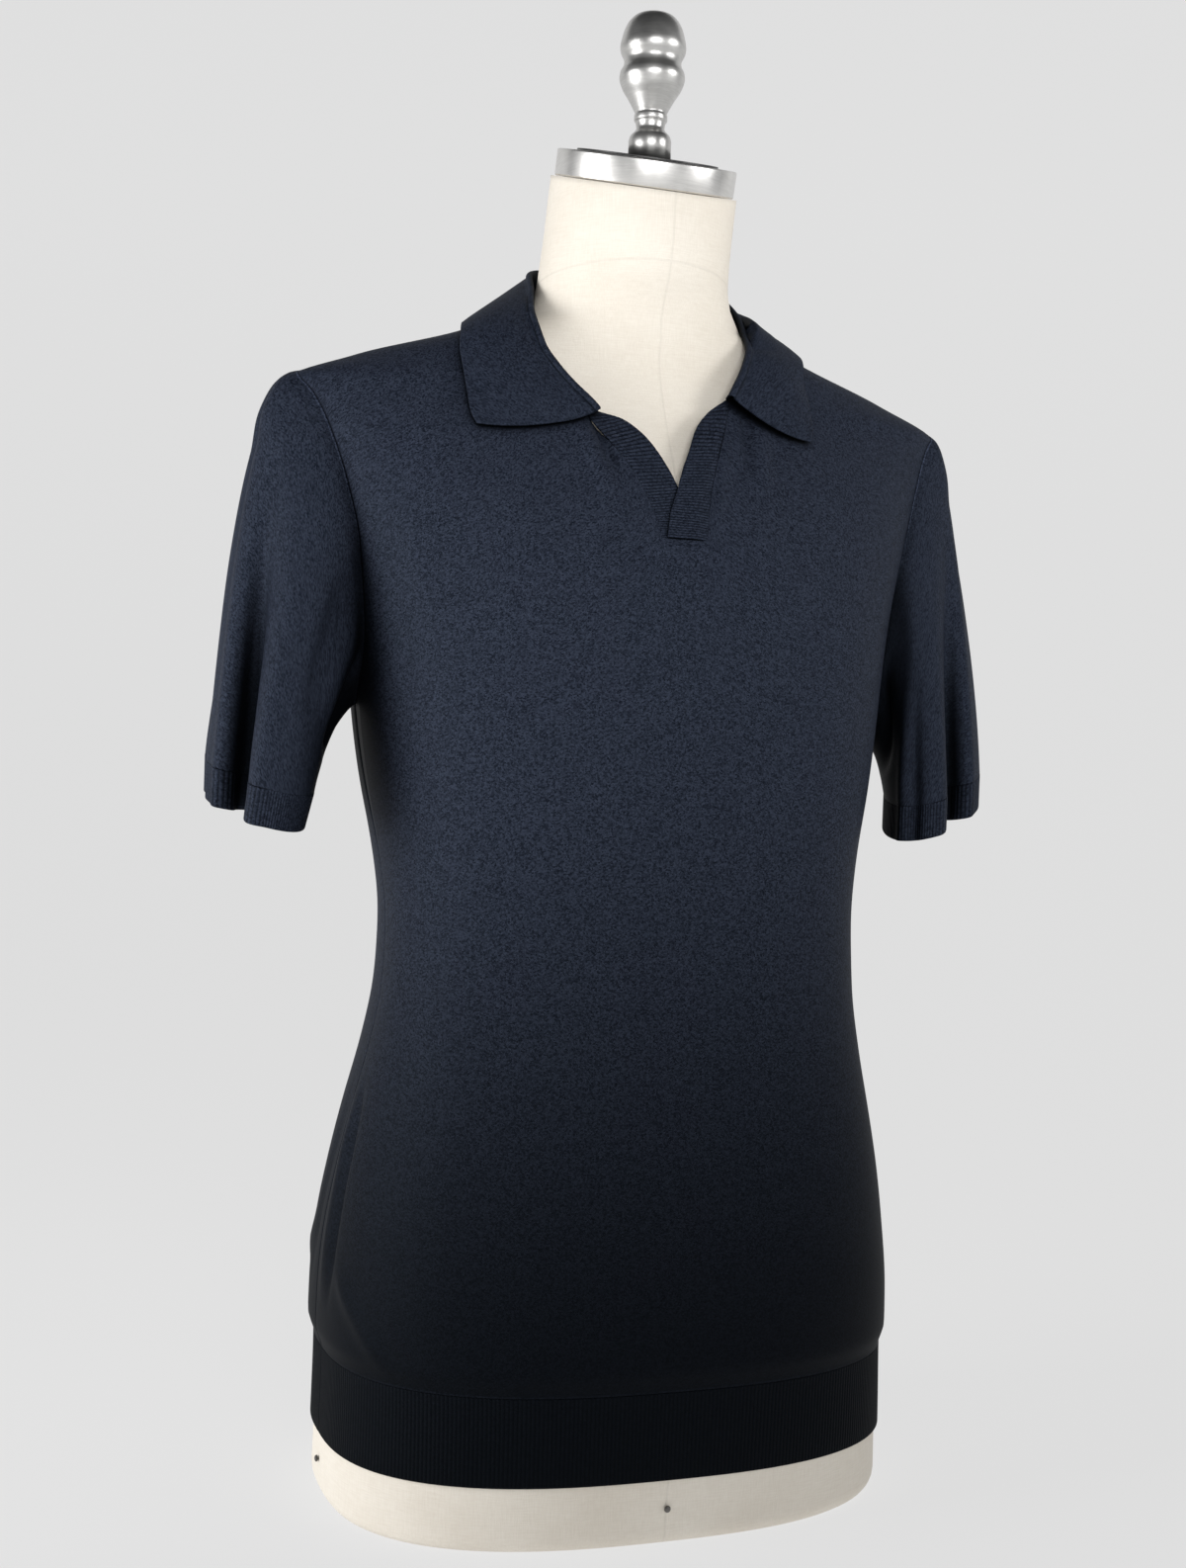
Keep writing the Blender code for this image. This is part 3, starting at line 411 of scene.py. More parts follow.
def kept_off(points, lift):
    """The points, moved out where they are nearer the torso's face than lift."""
    short = np.clip(lift - torso_distance(points), 0, None)
    return points + short[..., None] * torso_normals(points)


def on_face(x, height, side):
    """Points of the torso's face at these x."""
    level = np.broadcast_to(height, x.shape)
    return np.stack([x, reach_of(x, level, side), level], axis=1)


def even_half(height, side, edge_y, parts):
    """The x of points at these parts of the length of half a section, from seam to seam."""
    half_width, front, back, power, widest = section(height)
    depth = front + widest if side < 0 else back - widest
    start = math.asin(min(1, abs(edge_y - widest) / depth) ** (power / 2))
    angle = np.linspace(start, math.pi - start, HALF_STEPS)
    x = -half_width * curved(np.cos(angle), power)
    y = depth * curved(np.sin(angle), power)
    length = np.append(0, np.cumsum(np.hypot(np.diff(x), np.diff(y))))
    return np.interp(parts, length / length[-1], x)


# -------- shells
def along_rows(grid):
    """Distance along each row of a grid of points."""
    steps = np.linalg.norm(np.diff(grid, axis=1), axis=-1)
    return np.concatenate([np.zeros((len(grid), 1)), np.cumsum(steps, axis=1)], axis=1)


def along_columns(grid):
    return along_rows(grid.transpose(1, 0, 2)).T


def grid_normals(grid, closed):
    if closed:
        around = np.roll(grid, -1, axis=1) - np.roll(grid, 1, axis=1)
    else:
        around = np.gradient(grid, axis=1)
    return unit(np.cross(around, np.gradient(grid, axis=0)))


def link(obj):
    bpy.context.scene.collection.objects.link(obj)
    return obj


def new_mesh(name, points, faces, finish):
    mesh = bpy.data.meshes.new(name)
    mesh.from_pydata(np.asarray(points).tolist(), [], faces)
    mesh.polygons.foreach_set("use_smooth", [True] * len(mesh.polygons))
    mesh.materials.append(finish)
    return mesh


def new_object(name, points, faces, finish, uv=None):
    mesh = new_mesh(name, points, faces, finish)
    if uv is not None:
        layer = mesh.uv_layers.new(name="cloth")
        corner = np.empty(len(mesh.loops), int)
        mesh.loops.foreach_get("vertex_index", corner)
        layer.data.foreach_set("uv", np.asarray(uv)[corner].ravel())
    mesh.update()
    obj = link(bpy.data.objects.new(name, mesh))
    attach(obj, "root")
    return obj


def shell(name, face, normals, wall, finish, uv, closed=False, relief=None, rolled="", sewn=""):
    """A thin closed wall of cloth under a grid of points [row][column] on its outer face.

    relief raises the outer face. rolled and sewn name edges where the wall thins: t and b for
    the first and last rows, s and e for the first and last columns.
    """
    rows, columns = face.shape[:2]
    down, over = along_columns(face), along_rows(face)
    full = np.ones((rows, columns))
    far = {"t": down, "b": down[-1:] - down, "s": over, "e": over[:, -1:] - over}
    for keys, (reach, share) in ((rolled, ROLLED_EDGE), (sewn, SEAM_EDGE)):
        for key in keys:
            short = 1 - np.clip(far[key] / reach, 0, 1)
            full = np.minimum(full, 1 - share * (1 - np.sqrt(1 - short**2)))
    raised = 0 if relief is None else relief * np.clip((full - 0.5) * 2, 0, 1)
    middle = face - wall / 2 * normals
    outer = middle + (wall / 2 * full + raised)[..., None] * normals
    inner = middle - (wall / 2 * full)[..., None] * normals
    points = np.concatenate([outer.reshape(-1, 3), inner.reshape(-1, 3)])
    half = rows * columns
    index = np.arange(half).reshape(rows, columns)
    if closed:
        index = np.concatenate([index, index[:, :1]], axis=1)
    corners = index[:-1, :-1], index[:-1, 1:], index[1:, 1:], index[1:, :-1]
    quad = np.stack(corners, axis=-1).reshape(-1, 4)

    def rim(line, order):
        a, b = line[:-1], line[1:]
        return np.stack([a, b, b + half, a + half], axis=1)[:, order]

    forward, backward = [0, 1, 2, 3], [0, 3, 2, 1]
    faces = [quad[:, ::-1], quad + half, rim(index[0], forward), rim(index[-1], backward)]
    if not closed:
        faces += [rim(index[:, 0], backward), rim(index[:, -1], forward)]
    faces = np.concatenate(faces)
    if signed_volume(points, faces) < 0:
        faces = faces[:, ::-1]
    both_sides = np.concatenate([uv.reshape(-1, 2)] * 2)
    return new_object(name, points, faces.tolist(), finish, both_sides)


def signed_volume(points, faces):
    a, b, c, d = (points[faces[:, k]] for k in range(4))
    return (a * np.cross(b, c)).sum() + (a * np.cross(c, d)).sum()


def ring_faces(rings, count):
    """Four-sided faces between rings of this many points each."""
    faces = []
    for row in range(0, (rings - 1) * count, count):
        for column in range(count):
            a, b = row + column, row + (column + 1) % count
            faces.append([a, b, b + count, a + count])
    return faces


def cloth_uv(face, middle=None):
    """Distances along and down the cloth, in metres; middle is the column where u is zero."""
    over = along_rows(face)
    if middle is not None:
        over = over - over[:, middle : middle + 1]
    return np.stack([over, along_columns(face)], axis=-1)


def refined(values, steps):
    """The values with this many steps from each to the next."""
    values = np.asarray(values, float)
    index = np.linspace(0, len(values) - 1, (len(values) - 1) * steps + 1)
    return np.interp(index, np.arange(len(values)), values)


# -------- finishes
class Nodes:
    """Short calls for the node tree of a material or world."""

    def __init__(self, owner, shader="Principled BSDF"):
        self.owner = owner
        owner.use_nodes = True
        self.tree = owner.node_tree
        self.shader = self.tree.nodes[shader]

    def add(self, kind, values=(), **settings):
        node = self.tree.nodes.new(kind)
        for key, value in settings.items():
            setattr(node, key, value)
        for key, value in dict(values).items():
            if isinstance(value, bpy.types.NodeSocket):
                self.tree.links.new(value, node.inputs[key])
            else:
                node.inputs[key].default_value = value
        return node

    def math(self, operation, a, b=0.0):
        return self.add("ShaderNodeMath", {0: a, 1: b}, operation=operation).outputs[0]

    def mixed(self, a, share_a, b, share_b):
        parts = self.math("MULTIPLY", a, share_a), self.math("MULTIPLY", b, share_b)
        return self.math("ADD", *parts)

    def place(self):
        return self.add("ShaderNodeTexCoord").outputs["Object"]

    def split(self, vector):
        return self.add("ShaderNodeSeparateXYZ", {"Vector": vector}).outputs

    def mapped(self, value, from_range, to_range, kind="LINEAR"):
        names = ("Value", "From Min", "From Max", "To Min", "To Max")
        values = dict(zip(names, (value, *from_range, *to_range)))
        return self.add("ShaderNodeMapRange", values, interpolation_type=kind).outputs["Result"]

    def dimmed(self, colour, by):
        values = {0: colour, "Scale": by}
        return self.add("ShaderNodeVectorMath", values, operation="SCALE").outputs["Vector"]

    def noise(self, vector, scale, detail=2.0, roughness=0.5):
        values = {"Vector": vector, "Scale": scale, "Detail": detail, "Roughness": roughness}
        return self.add("ShaderNodeTexNoise", values).outputs["Fac"]

    def ramp(self, fac, *stops):
        node = self.add("ShaderNodeValToRGB", {"Fac": fac})
        ramp = node.color_ramp
        while len(ramp.elements) < len(stops):
            ramp.elements.new(0.5)
        for element, (place, colour) in zip(ramp.elements, stops):
            element.position = place
            element.color = (*colour, 1)
        return node.outputs["Color"]

    def scaled(self, vector, size):
        return self.add("ShaderNodeMapping", {"Vector": vector, "Scale": size}).outputs["Vector"]

    def set(self, **values):
        for key, value in values.items():
            socket = self.shader.inputs[key.replace("_", " ")]
            if isinstance(value, bpy.types.NodeSocket):
                self.tree.links.new(value, socket)
            else:
                socket.default_value = value

    def bump(self, height, distance, strength):
        values = {"Height": height, "Distance": distance, "Strength": strength}
        return self.add("ShaderNodeBump", values).outputs["Normal"]


FLECK = (1040, 1160, 1)     # flecks of yarn to the metre across and along the cloth
GRAIN = (680, 1000, 1)      # and softer blotches among them
FLECK_SHARE = 0.62
STITCH = 0.0009
PAINTED_SHADE_HEIGHTS = (0.08, 0.46)         # heights between which painted shade fades from darkest to none, and how much light the painted shade leaves at the hem
HEM_PAINTED_LIGHT = 0.09            # and how much of its light is left at the hem
HOLLOW_REACH = 0.13         # how far painted shade reaches round a hollow, how much open sky it sees, from darkest painted shade to none, and how much light the painted shade leaves in the darkest
HOLLOW = (0.36, 0.93)       # how much open sky it sees, from darkest to not shaded,
HOLLOW_DEPTH = 0.05         # and how much light is left in the darkest
LINK_AT = 0.0009            # middle of the line of linking stitches, half its width, and how much lighter its painted highlight makes it
LINK_HALF = 0.0005          # half its width,
LINK_PAINTED_HIGHLIGHT = 1.3            # and how much lighter it is
RIB_CROWN_PAINTED_HIGHLIGHT = 1.25            # brightness of the painted highlight on a rib's crown
SEAM_LINE = (0.0002, 0.0011)    # the linen's seams fade out between these distances
NECK_SEAM = 0.756
NECK_SEAM_TILT = 0.12


def knit(name, dark, light, ribs="", pitch=1.0, groove_painted_shade=0.30):
    """Melange knit: small stitches with flecks of lighter yarn, with painted shade in folds and
    hollows.

    ribs is X or Y where raised ribs of this pitch lie side by side in that direction, with a
    painted highlight on their crowns and painted shade in their valleys, as dark as the last
    argument gives. Painted shade darkens the cloth toward the hem, and plain cloth has a
    painted highlight on its line of linking stitches where its length begins.
    """
    n = Nodes(bpy.data.materials.new(name))
    # painted shade: the colour darkens toward the hem by height, standing in for light that falls
    # off downward
    depth = n.mapped(n.split(n.place())["Z"], PAINTED_SHADE_HEIGHTS, (HEM_PAINTED_LIGHT, 1.0), "SMOOTHSTEP")
    uv = n.add("ShaderNodeUVMap", uv_map="cloth").outputs["UV"]
    parts = n.split(uv)
    cell = n.add("ShaderNodeTexVoronoi", {"Vector": n.scaled(uv, FLECK), "Scale": 1.0})
    fleck = n.split(cell.outputs["Color"])["X"]
    grain = n.noise(n.scaled(uv, GRAIN), 1.0)
    tone = n.mixed(fleck, FLECK_SHARE, grain, 1 - FLECK_SHARE)
    if ribs:
        # painted highlight on each rib's crown and painted shade in the valleys between the ribs
        wave = n.math("MULTIPLY", parts[ribs], math.pi / pitch)
        raised = n.math("POWER", n.math("ABSOLUTE", n.math("SINE", wave)), 0.8)
        raised = n.math("ADD", n.math("MULTIPLY", raised, RIB_CROWN_PAINTED_HIGHLIGHT - groove_painted_shade), groove_painted_shade)
        depth = n.math("MULTIPLY", depth, raised)
    else:
        # painted highlight along the line of linking stitches
        away = n.math("ABSOLUTE", n.math("SUBTRACT", parts["Y"], LINK_AT))
        link = n.math("MULTIPLY", n.math("LESS_THAN", away, LINK_HALF), LINK_PAINTED_HIGHLIGHT)
        depth = n.math("MULTIPLY", depth, n.math("ADD", link, 1.0))
    # painted shade in folds and hollows: ambient occlusion multiplied into the colour
    occlusion = n.add("ShaderNodeAmbientOcclusion", {"Distance": HOLLOW_REACH}, samples=8)
    open_sky = n.mapped(occlusion.outputs["AO"], HOLLOW, (HOLLOW_DEPTH, 1.0))
    depth = n.math("MULTIPLY", depth, open_sky)
    stitch = n.math("SINE", n.math("MULTIPLY", parts["Y"], 2 * math.pi / STITCH))
    n.set(
        Base_Color=n.dimmed(n.ramp(tone, (0.15, dark), (0.85, light)), depth),
        Normal=n.bump(n.mixed(stitch, 0.25, grain, 1.2), 0.00012, 0.7),
        Roughness=0.66,
        Specular_IOR_Level=0.09,
        Specular_Tint=(0.62, 0.78, 1.0, 1),
    )
    return n.owner


def linen():
    """Linen with a seam down the middle of the front and back, and one round the neck's base."""
    n = Nodes(bpy.data.materials.new("linen"))
    place = n.place()
    parts = n.split(place)
    warp = n.noise(n.scaled(place, (1500, 1500, 110)), 1.0)
    weft = n.noise(n.scaled(place, (110, 110, 1500)), 1.0)
    weave = n.math("ADD", warp, weft)
    patch = n.noise(place, 14.0, 3.0)
    tone = n.mixed(weave, 0.28, patch, 0.45)
    rise = n.math("ADD", parts["Z"], n.math("MULTIPLY", parts["Y"], NECK_SEAM_TILT))
    across = n.math("ABSOLUTE", parts["X"])
    round_neck = n.math("ABSOLUTE", n.math("SUBTRACT", rise, NECK_SEAM))
    near = n.math("MINIMUM", across, round_neck)
    seam = n.mapped(near, SEAM_LINE, (1.0, 0.0), "SMOOTHSTEP")
    cloth = n.ramp(tone, (0.36, (0.73, 0.670, 0.580)), (0.66, (0.84, 0.79, 0.705)))
    # the linen is a little darker along its seams
    seam_darkening = n.math("SUBTRACT", 1.0, n.math("MULTIPLY", seam, 0.06))
    bump = n.math("ADD", weave, n.math("MULTIPLY", patch, 0.8))
    n.set(
        Base_Color=n.dimmed(cloth, seam_darkening),
        Normal=n.bump(n.math("SUBTRACT", bump, n.math("MULTIPLY", seam, 1.2)), 0.00025, 0.5),
        Roughness=0.86,
        Specular_IOR_Level=0.25,
    )
    return n.owner


def metal(name, dark, light, roughness, streak, depth):
    """Metal with fine streaks round it from turning or brushing."""
    n = Nodes(bpy.data.materials.new(name))
    place = n.place()
    line = n.noise(n.scaled(place, (streak / 14, streak / 14, streak)), 1.0, 4.0, 0.7)
    blot = n.noise(place, 60.0, 3.0)
    tone = n.mixed(line, 0.5, blot, 0.5)
    n.set(
        Base_Color=n.ramp(tone, (0.35, dark), (0.65, light)),
        Roughness=n.math("ADD", n.math("MULTIPLY", blot, 0.16), roughness - 0.08),
        Normal=n.bump(line, depth, 0.5),
        Metallic=1.0,
    )
    return n.owner


def plain(name, colour, glow):
    """A plain pale finish with a glow of its own, so that its shadows stay faint."""
    n = Nodes(bpy.data.materials.new(name))
    grain = n.noise(n.place(), 3.0)
    n.set(
        Base_Color=n.ramp(grain, (0.3, tuple(c * 0.99 for c in colour)), (0.7, colour)),
        Roughness=0.9,
        Specular_IOR_Level=0.0,
        Emission_Color=(1, 1, 1, 1),
        Emission_Strength=glow,
    )
    return n.owner


JERSEY = knit("navy_jersey", (0.0030, 0.0041, 0.0082), (0.0300, 0.0372, 0.0580))
RIB = knit("navy_rib", (0.0040, 0.0053, 0.0100), (0.0245, 0.0305, 0.0480), "X", RIB_PITCH)
STRIP_RIB = knit(
    "navy_strip", (0.0040, 0.0053, 0.0100), (0.0255, 0.0320, 0.0505), "Y", STRIP_RIB_PITCH, 0.15
)
COLLAR_KNIT = knit("navy_collar", (0.0045, 0.0060, 0.0110), (0.0250, 0.0315, 0.0500))
LINEN = linen()
CAP_METAL = metal("brushed_cap", (0.62, 0.61, 0.59), (0.80, 0.79, 0.77), 0.32, 900, 6e-5)
FINIAL_METAL = metal("turned_knob", (0.48, 0.475, 0.46), (0.66, 0.655, 0.64), 0.35, 1200, 6e-5)
PLATE_METAL = metal("dark_plate", (0.05, 0.05, 0.05), (0.12, 0.12, 0.12), 0.45, 600, 4e-5)
PIN_METAL = metal("pin_steel", (0.10, 0.095, 0.09), (0.22, 0.21, 0.20), 0.30, 2000, 2e-5)


# -------- the shirt's body
PLACKET_FOOT = 0.590
COLLAR_ENDS = (1.5, 14.6)   # stations where the placket's strips meet the collar
COLLAR_SIDES = (5, 11)      # and where the shoulder seams do
STRIP_ROWS = 49
CREST_TOP = 0.745           # the shoulders' crest is read up to this height,
CREST_END = 0.0935          # and ends this far from the middle, at the neckline


def edge_y_of(height, side):
    """Where the panel ends at this height: the side seam, or the armhole above it."""
    seam = torso_at(height)[4]
    if height <= UNDERARM:
        return seam
    front, back = ARMHOLE.at(height)
    return min(front, seam) if side < 0 else max(back, seam)


def edge_x_of(height, side):
    return float(width_at(np.array(edge_y_of(height, side)), np.array(height)))


def crest_height(x):
    """The height of the shoulder's crest at x."""
    heights = np.linspace(SHOULDER_TIP, CREST_TOP, 400)
    return float(np.interp(-abs(x), -torso_at(heights)[:, 0], heights))


def neck_points(start, end, count):
    """Points of the neckline, as x and height, between two of the collar's stations."""
    rows = snapped(COLLAR.at(np.linspace(start, end, count))[:, :3])
    return [(x, z) for x, _, z in rows]


def panel_top(side):
    """The panel's upper edge from right to left: shoulder, neckline and placket's slot."""
    tip = edge_x_of(SHOULDER_TIP, side)
    crest = np.concatenate([[tip, tip - 0.001], np.linspace(tip - 0.006, CREST_END, 24)])
    right = [(-x, crest_height(x)) for x in crest]
    left = [(-x, z) for x, z in reversed(right)]
    if side > 0:
        return right + neck_points(*COLLAR_SIDES, 41) + left
    parts = np.linspace(0, 1, STRIP_ROWS)
    slot_right = [tuple(p) for p in PLACKET_UNDER.at(parts)[::-1, 2:4]]
    slot_left = [tuple(p) for p in PLACKET_OVER.at(parts)[:, 2:4]]
    across = np.linspace(slot_right[-1][0], slot_left[0][0], 9)[1:-1]
    middle = [(x, PLACKET_FOOT) for x in across]
    neck_right = neck_points(COLLAR_SIDES[0], COLLAR_ENDS[0], 15)
    neck_left = neck_points(COLLAR_ENDS[1], COLLAR_SIDES[1], 15)
    return right + neck_right + slot_right + middle + slot_left + neck_left + left


PANEL_HEIGHTS = np.concatenate([
    [HEM_TOP, HEM_TOP + 0.0005, HEM_TOP + 0.001, HEM_TOP + 0.002],
    np.arange(0.0955, 0.678, 0.0038),
    [0.680, 0.682, 0.684, 0.6855, 0.6865, 0.6870, SHOULDER_TIP],
])


def crease_relief(face, creases, ends_of):
    """How far these creases raise each point; ends_of finds a crease's ends on the face."""
    relief = np.zeros(face.shape[:2])
    for a0, z0, a1, z1, width, height in creases:
        start, end = ends_of(a0, z0), ends_of(a1, z1)
        run = end - start
        offset = face - start
        part = offset @ run / (run @ run)
        away = np.linalg.norm(offset - part[..., None] * run, axis=-1)
        fade = np.clip(1.35 - np.abs(part - 0.5) * 2.2, 0, 1)
        relief += height * np.exp(-((away / width) ** 2)) * fade**2 * (3 - 2 * fade)
    return relief


def build_panel(name, side, creases, side_creases):
    """The front or back: rows across the torso that fan out to the neckline and shoulders."""
    top = np.array(panel_top(side))
    parts = np.linspace(0, 1, len(top))
    parts[1], parts[-2] = parts[1] * 0.25, 1 - (1 - parts[-2]) * 0.25
    rows = []
    for height in PANEL_HEIGHTS:
        fan = max(0, (height - FAN_START) / (SHOULDER_TIP - FAN_START)) ** FAN_POWER
        edge_y = edge_y_of(height, side)
        low_x = even_half(height, side, edge_y, parts)
        x = (1 - fan) * low_x + fan * top[:, 0] * edge_x_of(height, side) / top[-1, 0]
        z = height + fan * (top[:, 1] - SHOULDER_TIP)
        limit = width_at(torso_at(z)[:, 4] + side * 0.00005, z)
        x = np.clip(x, -limit, limit)
        rows.append(on_face(x, z, side))
    face = np.array(rows)

    def by_x(x, z):
        return np.array([x, float(reach_of(np.array(x), np.array(z), side)), z])

    def by_part(part, z):
        row = face[np.abs(PANEL_HEIGHTS - z).argmin()]
        return row[round(part * (len(row) - 1))]

    relief = crease_relief(face, creases, by_x) + crease_relief(face, side_creases, by_part)
    normals = torso_normals(face)
    uv = cloth_uv(face, len(top) // 2)
    face = face + relief[..., None] * normals
    piece = shell(name, face, normals, CLOTH, JERSEY, uv, sewn="tbse")
    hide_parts(name.replace("_cloth", ""))


HEM_RIBS = 206
RIB_STEPS = 5               # fine steps across each rib
HEM_HEIGHTS = [
    HEM_BOTTOM, HEM_BOTTOM + 0.0004, HEM_BOTTOM + 0.001, 0.048, 0.058, 0.068, 0.078, 0.086,
    HEM_TOP - 0.001, HEM_TOP - 0.0004, HEM_TOP,
]


def ribbed(count, relief):
    """Height of rounded ribs, with narrow valleys between them, where count is whole."""
    return relief * (np.abs(np.sin(math.pi * count)) ** 0.7 - 0.5)


def build_hem(name, side):
    parts = np.linspace(0, 1, HEM_RIBS * RIB_STEPS + 1)
    rows = []
    for height in HEM_HEIGHTS:
        x = even_half(height, side, edge_y_of(height, side), parts)
        rows.append(on_face(x, height, side))
    face = np.array(rows)
    uv = cloth_uv(face)
    uv[..., 0] = parts * HEM_RIBS * RIB_PITCH
    relief = ribbed(uv[..., 0] / RIB_PITCH, RIB_RELIEF)
    normals = torso_normals(face)
    piece = shell(name, face, normals, CLOTH, RIB, uv, relief=relief, rolled="t", sewn="bse")
    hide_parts(name.replace("_cloth", ""))


STRIP_RELIEF = 0.00028
STRIP_RIBS = 46
STRIP_FADE = 0.3            # share of the strip's width over which its ribs and lift fade out


def build_strip(name, table, overlap):
    """A ribbed strip of the placket, its ribs running across it.

    overlap is how far it lies off the torso at its foot; it comes down toward the collar.
    """
    rows = STRIP_RIBS * 4 + 1
    across = np.array([0, 0.02, 0.05, 0.12, 0.25, 0.4, 0.55, 0.7, 0.82, 0.9, 0.96, 0.985, 1.0])
    outer_fade = np.clip((1 - across) / STRIP_FADE, 0, 1)
    grid, base = [], []
    for part in np.linspace(0, 1, rows):
        inner_x, inner_z, outer_x, outer_z = table.at(part)
        x = inner_x + (outer_x - inner_x) * across
        z = inner_z + (outer_z - inner_z) * across
        flat_points = on_face(x, z, -1)
        lift = overlap * outer_fade * min(1, (1 - part) / 0.35 + 0.25)
        base.append(flat_points)
        grid.append(flat_points + lift[:, None] * torso_normals(flat_points))
    face, normals = np.array(grid), torso_normals(np.array(base))
    uv = cloth_uv(face)
    count = np.linspace(0, STRIP_RIBS, rows)[:, None]
    uv[..., 1] = count * STRIP_RIB_PITCH
    relief = ribbed(count, STRIP_RELIEF) * outer_fade
    piece = shell(name, face, normals, CLOTH, STRIP_RIB, uv, relief=relief, rolled="ts", sewn="be")
    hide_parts(name.replace("_cloth", ""))


# -------- sleeves and cuffs
LIP = 0.0016                # of the sleeve inside the armhole
CUFF_RIBS = 126
ARM_STEPS = 5               # fine steps for each of the solids' steps round the armhole
SLEEVE_PARTS = np.concatenate([
    [0, 0.002, 0.005, 0.010], np.linspace(0.02, 0.985, 66), [0.991, 0.996, 0.998, 1.0],
])
CUFF_DROPS = [
    0, 0.0004, 0.001, 0.005, 0.010, 0.015, 0.020,
    CUFF_HEIGHT - 0.001, CUFF_HEIGHT - 0.0004, CUFF_HEIGHT,
]


def eased(part):
    return 3 * part**2 - 2 * part**3


def turned_away(angles, at):
    """Degrees from this angle to each of the angles, the shorter way round."""
    return (np.degrees(angles) - at + 180) % 360 - 180


def armhole_ring(side):
    heights = refined(ARMHOLE.key, ARM_STEPS)
    edges = []
    for face in (-1, 1):
        y = np.array([edge_y_of(height, face) for height in heights])
        edges.append(np.stack([width_at(y, heights), y, heights], axis=1))
    front, back = edges
    ends = (front + back) / 2
    ring = np.vstack([ends[-1:], front[-2:0:-1], ends[:1], back[1:-1]])
    ring[:, 0] *= side
    return ring


def blend(directions, angle):
    """The directions given for top, front, under and back, blended for this angle."""
    along, across = math.cos(angle), math.sin(angle)
    weights = {"top": along, "under": -along, "front": across, "back": -across}
    return sum(np.array(directions[name]) * max(0, w) ** 2 for name, w in weights.items())


def cuff_ring(sleeve, angles, lift, scale=1.0):
    """A ring round the cuff this far above its edge: a flattened, turned oval with a fold."""
    turn = math.radians(sleeve["turn"])
    middle_x = sleeve["middle_x"] + sleeve["across"] * (1 - scale)
    across = sleeve["across"] * scale * np.cos(angles)
    along = -sleeve["along"] * scale * np.sin(angles)
    away = turned_away(angles, sleeve["valley_at"])
    dent = sleeve["valley_depth"] * np.exp(-((away / sleeve["valley_spread"]) ** 2))
    size = np.hypot(across, along)
    across, along = across * (1 - dent / size), along * (1 - dent / size)
    x = middle_x + across * math.cos(turn) + along * math.sin(turn)
    y = sleeve["middle_y"] - across * math.sin(turn) + along * math.cos(turn)
    level = sleeve["level"] + sleeve["slope"] * y + sleeve["lean"] * (x - sleeve["middle_x"])
    return np.stack([sleeve["side"] * x, y, level + lift], axis=1)


def fold_relief(name, angles, part):
    """Height of a sleeve's soft folds at these angles, this far along it."""
    relief = np.zeros_like(angles)
    for at, spread, height, start, end in SLEEVE_FOLDS[name]:
        grow = min(1, max(0, (part - start) / (end - start)))
        if end < 1:
            grow = math.sin(math.pi * grow)
        relief += height * eased(grow) * np.exp(-((turned_away(angles, at) / spread) ** 2))
    return relief


def folded(face, relief, side):
    """The face with its folds raised, and its normals then."""
    face = face + relief[..., None] * grid_normals(face, closed=True) * side
    return face, grid_normals(face, closed=True) * side


def build_sleeve(name, sleeve):
    """A sleeve from its armhole to the cuff's seam, and the cuff below it."""
    side = np.array([sleeve["side"], 1, 1])
    start = armhole_ring(sleeve["side"])
    count = len(start)
    angles = 2 * math.pi * np.arange(count) / count
    smooth_end = cuff_ring(dict(sleeve, valley_depth=0.0), angles, CUFF_HEIGHT)
    dented_end = cuff_ring(sleeve, angles, CUFF_HEIGHT)
    spring = {**LEAVE, "top": (sleeve["spring"], 0.0, LEAVE["top"][2])}
    leave = np.array([blend(spring, angle) for angle in angles]) * side
    meet = np.array([blend(MEET, angle) for angle in angles]) * side
    rings = []
    for part in SLEEVE_PARTS:
        rise = eased(part)
        ring = (
            (1 - rise) * start + (part**3 - 2 * part**2 + part) * leave
            + rise * smooth_end + (part**3 - part**2) * meet
        )
        deep = max(0, (part - VALLEY_START) / (1 - VALLEY_START))
        rings.append(ring + (dented_end - smooth_end) * eased(deep))
    folds = np.array([fold_relief(name, angles, part) for part in SLEEVE_PARTS])
    face, normals = folded(np.array(rings), folds, sleeve["side"])
    uv = cloth_uv(face)
    # a lip inside the armhole, so that the seam closes
    face = np.concatenate([start[None] - LIP * torso_normals(start), face])
    normals = np.concatenate([normals[:1], normals])
    uv = np.concatenate([uv[:1] - (0, LIP), uv])
    cloth = "sleeve_" + name + "_cloth"
    piece = shell(cloth, face, normals, CLOTH, JERSEY, uv, closed=True, sewn="b")
    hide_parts("sleeve_" + name)

    count = np.arange(CUFF_RIBS * RIB_STEPS) / RIB_STEPS
    fine = 2 * math.pi * count / CUFF_RIBS
    rows = []
    for drop in CUFF_DROPS:
        scale = 1 + (sleeve["taper"] - 1) * drop / CUFF_HEIGHT
        rows.append(cuff_ring(sleeve, fine, CUFF_HEIGHT - drop, scale))
    face, normals = folded(np.array(rows), fold_relief(name, fine, 1.0), sleeve["side"])
    uv = cloth_uv(face)
    uv[..., 0] = count * RIB_PITCH
    cloth, relief = "cuff_" + name + "_cloth", ribbed(count, RIB_RELIEF)
    cuff = shell(cloth, face, normals, CLOTH, RIB, uv, True, relief, rolled="b", sewn="t")
    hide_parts("cuff_" + name)


# -------- collar
END_DROP = 0.0026           # the fold sinks into the placket strips at its two ends
STAND_PARTS = (0, 0.04, 0.12, 0.35, 0.7, 1.0)
LEAF_PARTS = np.concatenate([np.linspace(0, 0.96, 18), [0.975, 0.985, 0.993, 1.0]])


